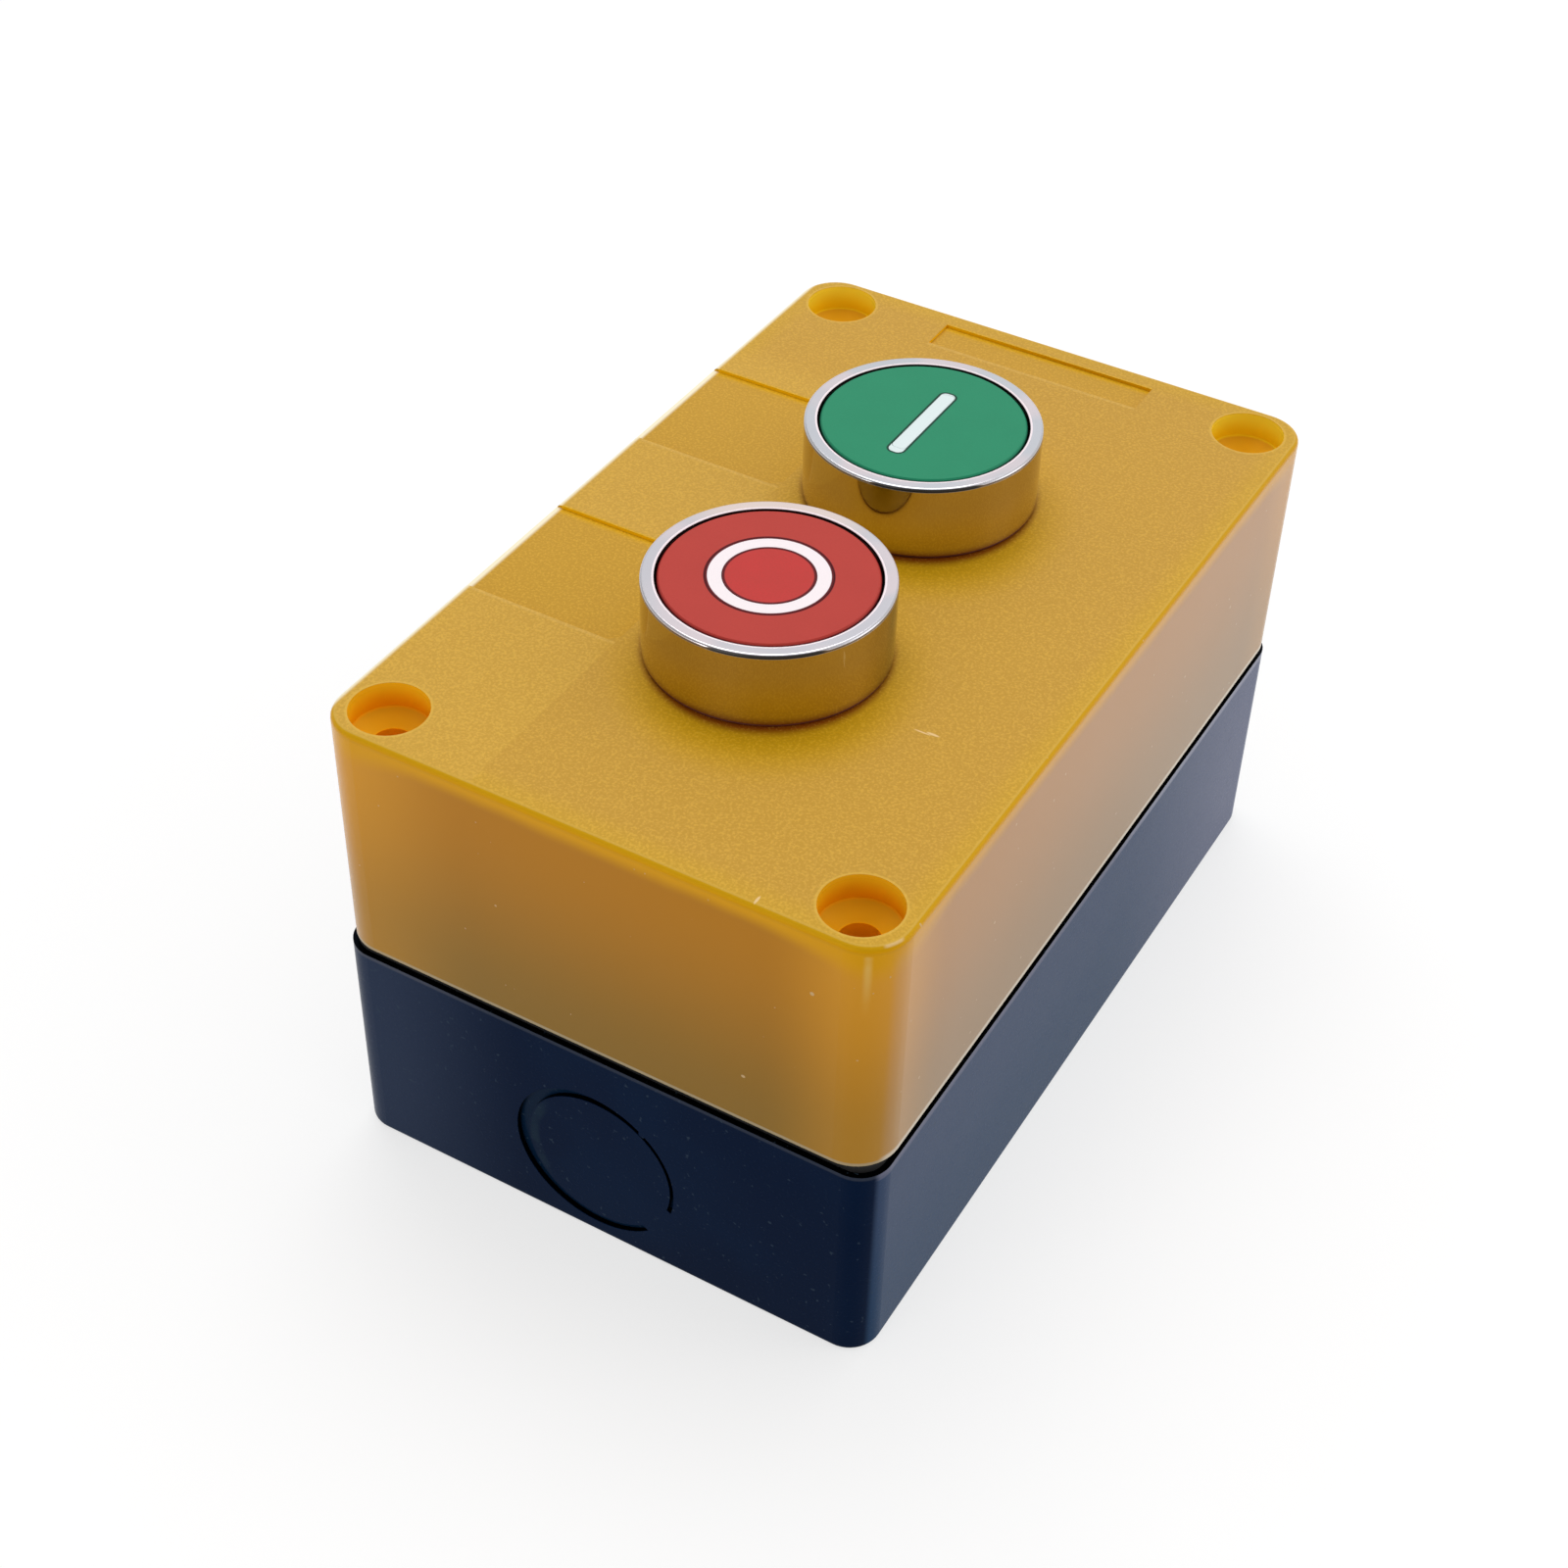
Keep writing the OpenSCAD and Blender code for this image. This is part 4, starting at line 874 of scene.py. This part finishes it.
def cutAway(mesh, cutter):
    cutterObject = bpy.data.objects.new("cutter", cutter)
    body = bpy.data.objects.new("cutBody", mesh)
    for made in (cutterObject, body):
        scene.collection.objects.link(made)
    modifier = body.modifiers.new("cut", "BOOLEAN")
    modifier.operation = "DIFFERENCE"
    modifier.solver = "EXACT"
    modifier.object = cutterObject
    graph = bpy.context.evaluated_depsgraph_get()
    result = bpy.data.meshes.new_from_object(body.evaluated_get(graph))
    bpy.data.objects.remove(body)
    bpy.data.objects.remove(cutterObject)
    return result


def joined(name, meshes, smoothAngle):
    work = bmesh.new()
    for mesh in meshes:
        work.from_mesh(mesh)
    bmesh.ops.recalc_face_normals(work, faces=work.faces)
    return meshOf(name, work, smoothAngle)


# Geometry Nodes: one tree lays a wire on a coil whose end turns lie flat, for springs and for threads

def makeCoilTree():
    tree = bpy.data.node_groups.new("coiledWire", "GeometryNodeTree")
    sockets = [(name, "INPUT", "Float") for name in ("Radius", "Wire", "Height", "Turns", "Flat Turns")]
    sockets += [("Steps", "INPUT", "Int"), ("Sides", "INPUT", "Int"), ("Finish", "INPUT", "Material")]
    for name, way, kind in sockets + [("Geometry", "OUTPUT", "Geometry")]:
        tree.interface.new_socket(name=name, in_out=way, socket_type="NodeSocket" + kind)
    add = tree.nodes.new
    link = tree.links.new
    source = add("NodeGroupInput").outputs
    numbers = [Field(tree, source[name]) for name, _, kind in sockets if kind == "Float"]
    radius, wire, full, turns, flatTurns = numbers

    # the wire's middle line: how far round and how high each of its points lies
    line = add("GeometryNodeCurvePrimitiveLine")
    points = add("GeometryNodeResampleCurve")
    link(line.outputs["Curve"], points.inputs["Curve"])
    link(source["Steps"], points.inputs["Count"])
    factor = Field(tree, add("GeometryNodeSplineParameter").outputs["Factor"])
    angle = factor * turns * (2 * pi)
    flat = flatTurns / turns
    rest = 1.0 - flat
    spans = ((0.0, flat), (flat, rest), (rest, 1.0))
    low, middle, high = [fade(factor, *span, shape="LINEAR") for span in spans]
    ends = flatTurns * wire
    height = middle * (full - wire - ends * 2.0) + (low + high) * ends + wire * 0.5
    join = add("ShaderNodeCombineXYZ")
    for index, value in enumerate((calc("COSINE", angle) * radius, calc("SINE", angle) * radius, height)):
        feed(join.inputs[index], value)
    place = add("GeometryNodeSetPosition")
    link(points.outputs["Curve"], place.inputs["Geometry"])
    link(join.outputs[0], place.inputs["Position"])
    upright = add("GeometryNodeSetCurveNormal")
    upright.mode = "Z_UP"
    link(place.outputs["Geometry"], upright.inputs[0])

    # the wire's round section, swept along it
    ring = add("GeometryNodeCurvePrimitiveCircle")
    link(source["Sides"], ring.inputs["Resolution"])
    feed(ring.inputs["Radius"], wire * 0.5)
    sweep = add("GeometryNodeCurveToMesh")
    sweep.inputs["Fill Caps"].default_value = True
    link(upright.outputs[0], sweep.inputs["Curve"])
    link(ring.outputs["Curve"], sweep.inputs["Profile Curve"])
    real = add("GeometryNodeRealizeInstances")
    link(sweep.outputs["Mesh"], real.inputs[0])
    finish = add("GeometryNodeSetMaterial")
    link(real.outputs[0], finish.inputs["Geometry"])
    link(source["Finish"], finish.inputs["Material"])
    link(finish.outputs[0], add("NodeGroupOutput").inputs[0])
    return tree


coilTree = makeCoilTree()


def coilMesh(name, place, values):
    # runs the tree with its named values, and returns its result as a plain mesh at its place
    holder = bpy.data.objects.new(name, bpy.data.meshes.new(name))
    scene.collection.objects.link(holder)
    modifier = holder.modifiers.new("grow", "NODES")
    modifier.node_group = coilTree
    for item in coilTree.interface.items_tree:
        if item.item_type == "SOCKET" and item.in_out == "INPUT":
            modifier[item.identifier] = values[item.name]
    graph = bpy.context.evaluated_depsgraph_get()
    mesh = bpy.data.meshes.new_from_object(holder.evaluated_get(graph))
    bpy.data.objects.remove(holder)
    mesh.transform(Matrix.Translation(place))
    return mesh


# Bezels: chromed head with a painted highlight ring inside its flat rim, a fine groove under the rim and a
# threaded barrel
bezelSizes = {
    "segments": 192,
    "turnedSmooth": 25,     # degrees, before the pieces are joined
    "smooth": 28,           # degrees, after that
    "radius": 13.65,
    "boreRadius": 12.15,
    "top": 70.9,
    "rounding": 0.3,
    "roundSteps": 8,
    "chamfer": 0.05,
    "support": 0.04,        # narrow flat beside a rounding, which keeps the faces next to it flat
    "line": (70.50, 0.09),  # fine groove under the rim: middle, half height
    "lineDepth": 0.063,
    "foot": 61.78,
    "footRounding": 0.12,
    "footSteps": 4,
    "barrelRadius": 11.05,
    "barrelStep": 0.3,
    "threadDepth": 0.42,
    "threadPitch": 1.5,
    "threadSteps": 96,      # round one turn
    "threadSides": 4,
    "threadFlat": 0.0001,
    "barrelLow": 47.5,
    "threadTop": 58.3,
    "boreFloor": 63.2,
    "springBore": 9.4,
    "springSeat": 48.7,
    "stemHole": 4.3,
    "grooveLow": 65.0,
    "grooveHigh": 66.4,
    "grooveRadius": 12.85,
    "key": ((-1.5, 10.4, 58.5), (1.5, 11.8, 62.2)),
    "keySoftness": 0.15,
    "ribGroove": ((-1.25, -10.25, 48.7), (1.25, -8.5, 64.0)),
}


def bezelProfile(s):
    r, top, foot, soft, hold = s["radius"], s["top"], s["foot"], s["footRounding"], s["support"]
    barrel, bore, step = s["barrelRadius"], s["boreRadius"], s["barrelStep"]
    chamfer, rounding = s["chamfer"], s["rounding"]
    core = barrel - s["threadDepth"]
    lineZ, lineHalf = s["line"]
    points = [(s["stemHole"], s["barrelLow"]), (core, s["barrelLow"]), (core, s["threadTop"]),
              (barrel, s["threadTop"] + step), (barrel, foot), (barrel + step, foot)]
    points += arc(r - soft, foot + soft, soft, -90, 0, s["footSteps"])
    points += [(r, foot + soft + hold), (r, lineZ - lineHalf), (r - s["lineDepth"], lineZ),
               (r, lineZ + lineHalf)]
    points += arc(r - rounding, top - rounding, rounding, 0, 90, s["roundSteps"])
    points += [(r - rounding - hold, top), (bore + chamfer, top), (bore, top - chamfer),
               (bore, s["grooveHigh"]), (s["grooveRadius"], s["grooveHigh"]),
               (s["grooveRadius"], s["grooveLow"]), (bore, s["grooveLow"]),
               (bore, s["boreFloor"]), (s["springBore"], s["boreFloor"]),
               (s["springBore"], s["springSeat"]), (s["stemHole"], s["springSeat"])]
    return points


def makeBezel(button, s):
    centreY, name = buttonY[button], button + "BezelHead"
    turned = turnedMesh(name, bezelProfile(s), centreY, s["segments"], s["turnedSmooth"])
    turned = cutAway(turned, boxMesh("cutter", s["ribGroove"], centreY))
    key = boxMesh(name + "Key", s["key"], centreY, s["keySoftness"])
    length, wire = s["threadTop"] - s["barrelLow"], 2 * s["threadDepth"]
    thread = coilMesh(name + "Thread", (0, centreY * mm, s["barrelLow"] * mm), {
        "Radius": (s["barrelRadius"] - s["threadDepth"]) * mm, "Wire": wire * mm, "Height": length * mm,
        "Turns": (length - wire) / s["threadPitch"], "Flat Turns": s["threadFlat"],
        "Steps": int(length / s["threadPitch"] * s["threadSteps"]), "Sides": s["threadSides"],
        "Finish": smallMaterials["chrome"]})
    mesh = joined(name, [turned, key, thread], s["smooth"])
    addPiece(name, mesh, smallMaterials["chrome"], "enclosure", (button + "_bezel",))


for button in buttonY:
    makeBezel(button, bezelSizes)
print("bezels turned")


# Seals under the bezels, set back so that only a thin line of shadow shows
sealSizes = {
    "inner": 11.15,
    "outer": 13.55,
    "low": 61.5,
    "high": 61.78,
    "bulge": 0.12,
    "bulgeArc": (-60, 60, 5),
    "slack": 0.01,
    "segments": 160,
    "smooth": 25,   # degrees
}
# the seal's dark red-brown stands in for the amber plastic in shade at the bezel's foot: painted shade on the
# rubber seal
sealLook = {"colour": (0.110, 0.012, 0.001, 1), "rough": 0.6, "metal": 0.0, "grain": 0.3 * mm}
sealRubber = makeFinish("sealRubber", sealLook, finishGrain)


def makeSeal(button, s):
    inner, edge, low, high = s["inner"], s["outer"] - s["bulge"], s["low"], s["high"]
    profile = [(inner, low), (edge, low)]
    profile += arc(edge, (low + high) / 2, (high - low) / 2 - s["slack"], *s["bulgeArc"])
    profile += [(edge, high), (inner, high)]
    name = button + "PanelGasket"
    mesh = turnedMesh(name, profile, buttonY[button], s["segments"], s["smooth"])
    addPiece(name, mesh, sealRubber, "enclosure", (button + "_panel_seal",))


for button in buttonY:
    makeSeal(button, sealSizes)
print("seals made")


# Springs, coiled by the tree; the return and block springs, which have a travel, go with the enclosure and
# get a mesh of their own, the pressure springs go with their button
springSizes = {
    "return": {"radius": 6.21, "wire": 0.9, "height": 15.3, "turns": 7.0, "steps": 420, "sides": 12,
               "low": {"stop": 48.7, "start": 48.7}, "travel": 4.0},
    "block": {"radius": 2.5, "wire": 0.5, "height": 7.0, "turns": 5.0, "steps": 260, "sides": 10,
              "low": {"stop": 17.5, "start": 17.5}, "travel": 4.0},
    "pressure": {"radius": 1.95, "wire": 0.4, "height": 3.2, "turns": 4.0, "steps": 200, "sides": 8,
                 "low": {"stop": 27.2, "start": 33.3}, "travel": 0.0},
}
springFlatTurns = 1.0   # at each end
springSmooth = 60       # degrees


def makeSpring(button, kind, s):
    place = (0, buttonY[button] * mm, s["low"][button] * mm)
    steel = smallMaterials["spring_steel"]
    name = button + kind.capitalize() + "Coil"
    coil = coilMesh(name, place, {
        "Radius": s["radius"] * mm, "Wire": s["wire"] * mm, "Height": s["height"] * mm, "Turns": s["turns"],
        "Flat Turns": springFlatTurns, "Steps": s["steps"], "Sides": s["sides"], "Finish": steel})
    mesh = joined(name, [coil], springSmooth)
    body = "enclosure" if s["travel"] else button + "_button"
    piece = addPiece(name, mesh, steel, body, (f"{button}_{kind}_spring",))
    if s["travel"]:
        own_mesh(piece)


for button in buttonY:
    for kind, s in springSizes.items():
        makeSpring(button, kind, s)
print("springs coiled")


# Studio: a pale floor, a soft sky that is brighter behind the object, and three soft lamps
studio = {
    "floorSize": 3.0,
    "floorColour": (0.34, 0.34, 0.34, 1),
    "floorWhite": 0.67,
    "skyTop": 0.6,
    "skySide": 0.3,
    "skyTilt": 0.75,
    "whiteBand": (0.30, 0.12),
}
lamps = {
    "backLamp": {"size": 0.5, "place": (-0.20, 0.25, 0.80), "power": 2.2},
    "rightLamp": {"size": 0.5, "place": (0.8, 0.35, 0.3), "power": 1.4},
    "frontLamp": {"size": 0.5, "place": (-0.15, -0.8, 0.12), "power": 2.3},
}


def seenDirectly(tree):
    path = tree.nodes.new("ShaderNodeLightPath").outputs
    kinds = ("Camera", "Glossy", "Transmission")
    camera, glossy, passing = [Field(tree, path[f"Is {kind} Ray"]) for kind in kinds]
    return larger(larger(camera, glossy), passing)


def makeFloor(s):
    mesh = bpy.data.meshes.new("studioFloor")
    h = s["floorSize"] / 2
    mesh.from_pydata([(-h, -h, 0), (h, -h, 0), (h, h, 0), (-h, h, 0)], [], [(0, 1, 2, 3)])
    floor = bpy.data.objects.new("studioFloor", mesh)
    scene.collection.objects.link(floor)
    material = bpy.data.materials.new("paleFloor")
    material.use_nodes = True
    tree = material.node_tree
    tree.nodes.clear()
    matt = tree.nodes.new("ShaderNodeBsdfDiffuse")
    matt.inputs["Color"].default_value = s["floorColour"]
    white = tree.nodes.new("ShaderNodeEmission")
    feed(white.inputs["Strength"], seenDirectly(tree) * s["floorWhite"])
    both = tree.nodes.new("ShaderNodeAddShader")
    tree.links.new(matt.outputs[0], both.inputs[0])
    tree.links.new(white.outputs[0], both.inputs[1])
    out = tree.nodes.new("ShaderNodeOutputMaterial")
    tree.links.new(both.outputs[0], out.inputs["Surface"])
    mesh.materials.append(material)


def makeSky(s):
    world = bpy.data.worlds.new("softSky")
    scene.world = world
    world.use_nodes = True
    tree = world.node_tree
    sky = tree.nodes["Background"].inputs
    sky["Color"].default_value = (1, 1, 1, 1)
    _, away, up = partsOf(tree, tree.nodes.new("ShaderNodeTexCoord").outputs["Generated"])
    soft = (larger(up, 0.0) * s["skyTop"] + s["skySide"]) * (away * s["skyTilt"] + 1.0)
    white = seenDirectly(tree) * fade(up, *s["whiteBand"])
    feed(sky["Strength"], soft * (1.0 - white) + white)


def makeLamp(name, s):
    lamp = bpy.data.lights.new(name, "AREA")
    lamp.size = s["size"]
    lamp.energy = s["power"]
    holder = bpy.data.objects.new(name, lamp)
    scene.collection.objects.link(holder)
    place = Vector(s["place"])
    holder.matrix_world = Matrix.Translation(place) @ place.to_track_quat("Z", "Y").to_matrix().to_4x4()


makeFloor(studio)
makeSky(studio)
for name, s in lamps.items():
    makeLamp(name, s)
print("studio made")
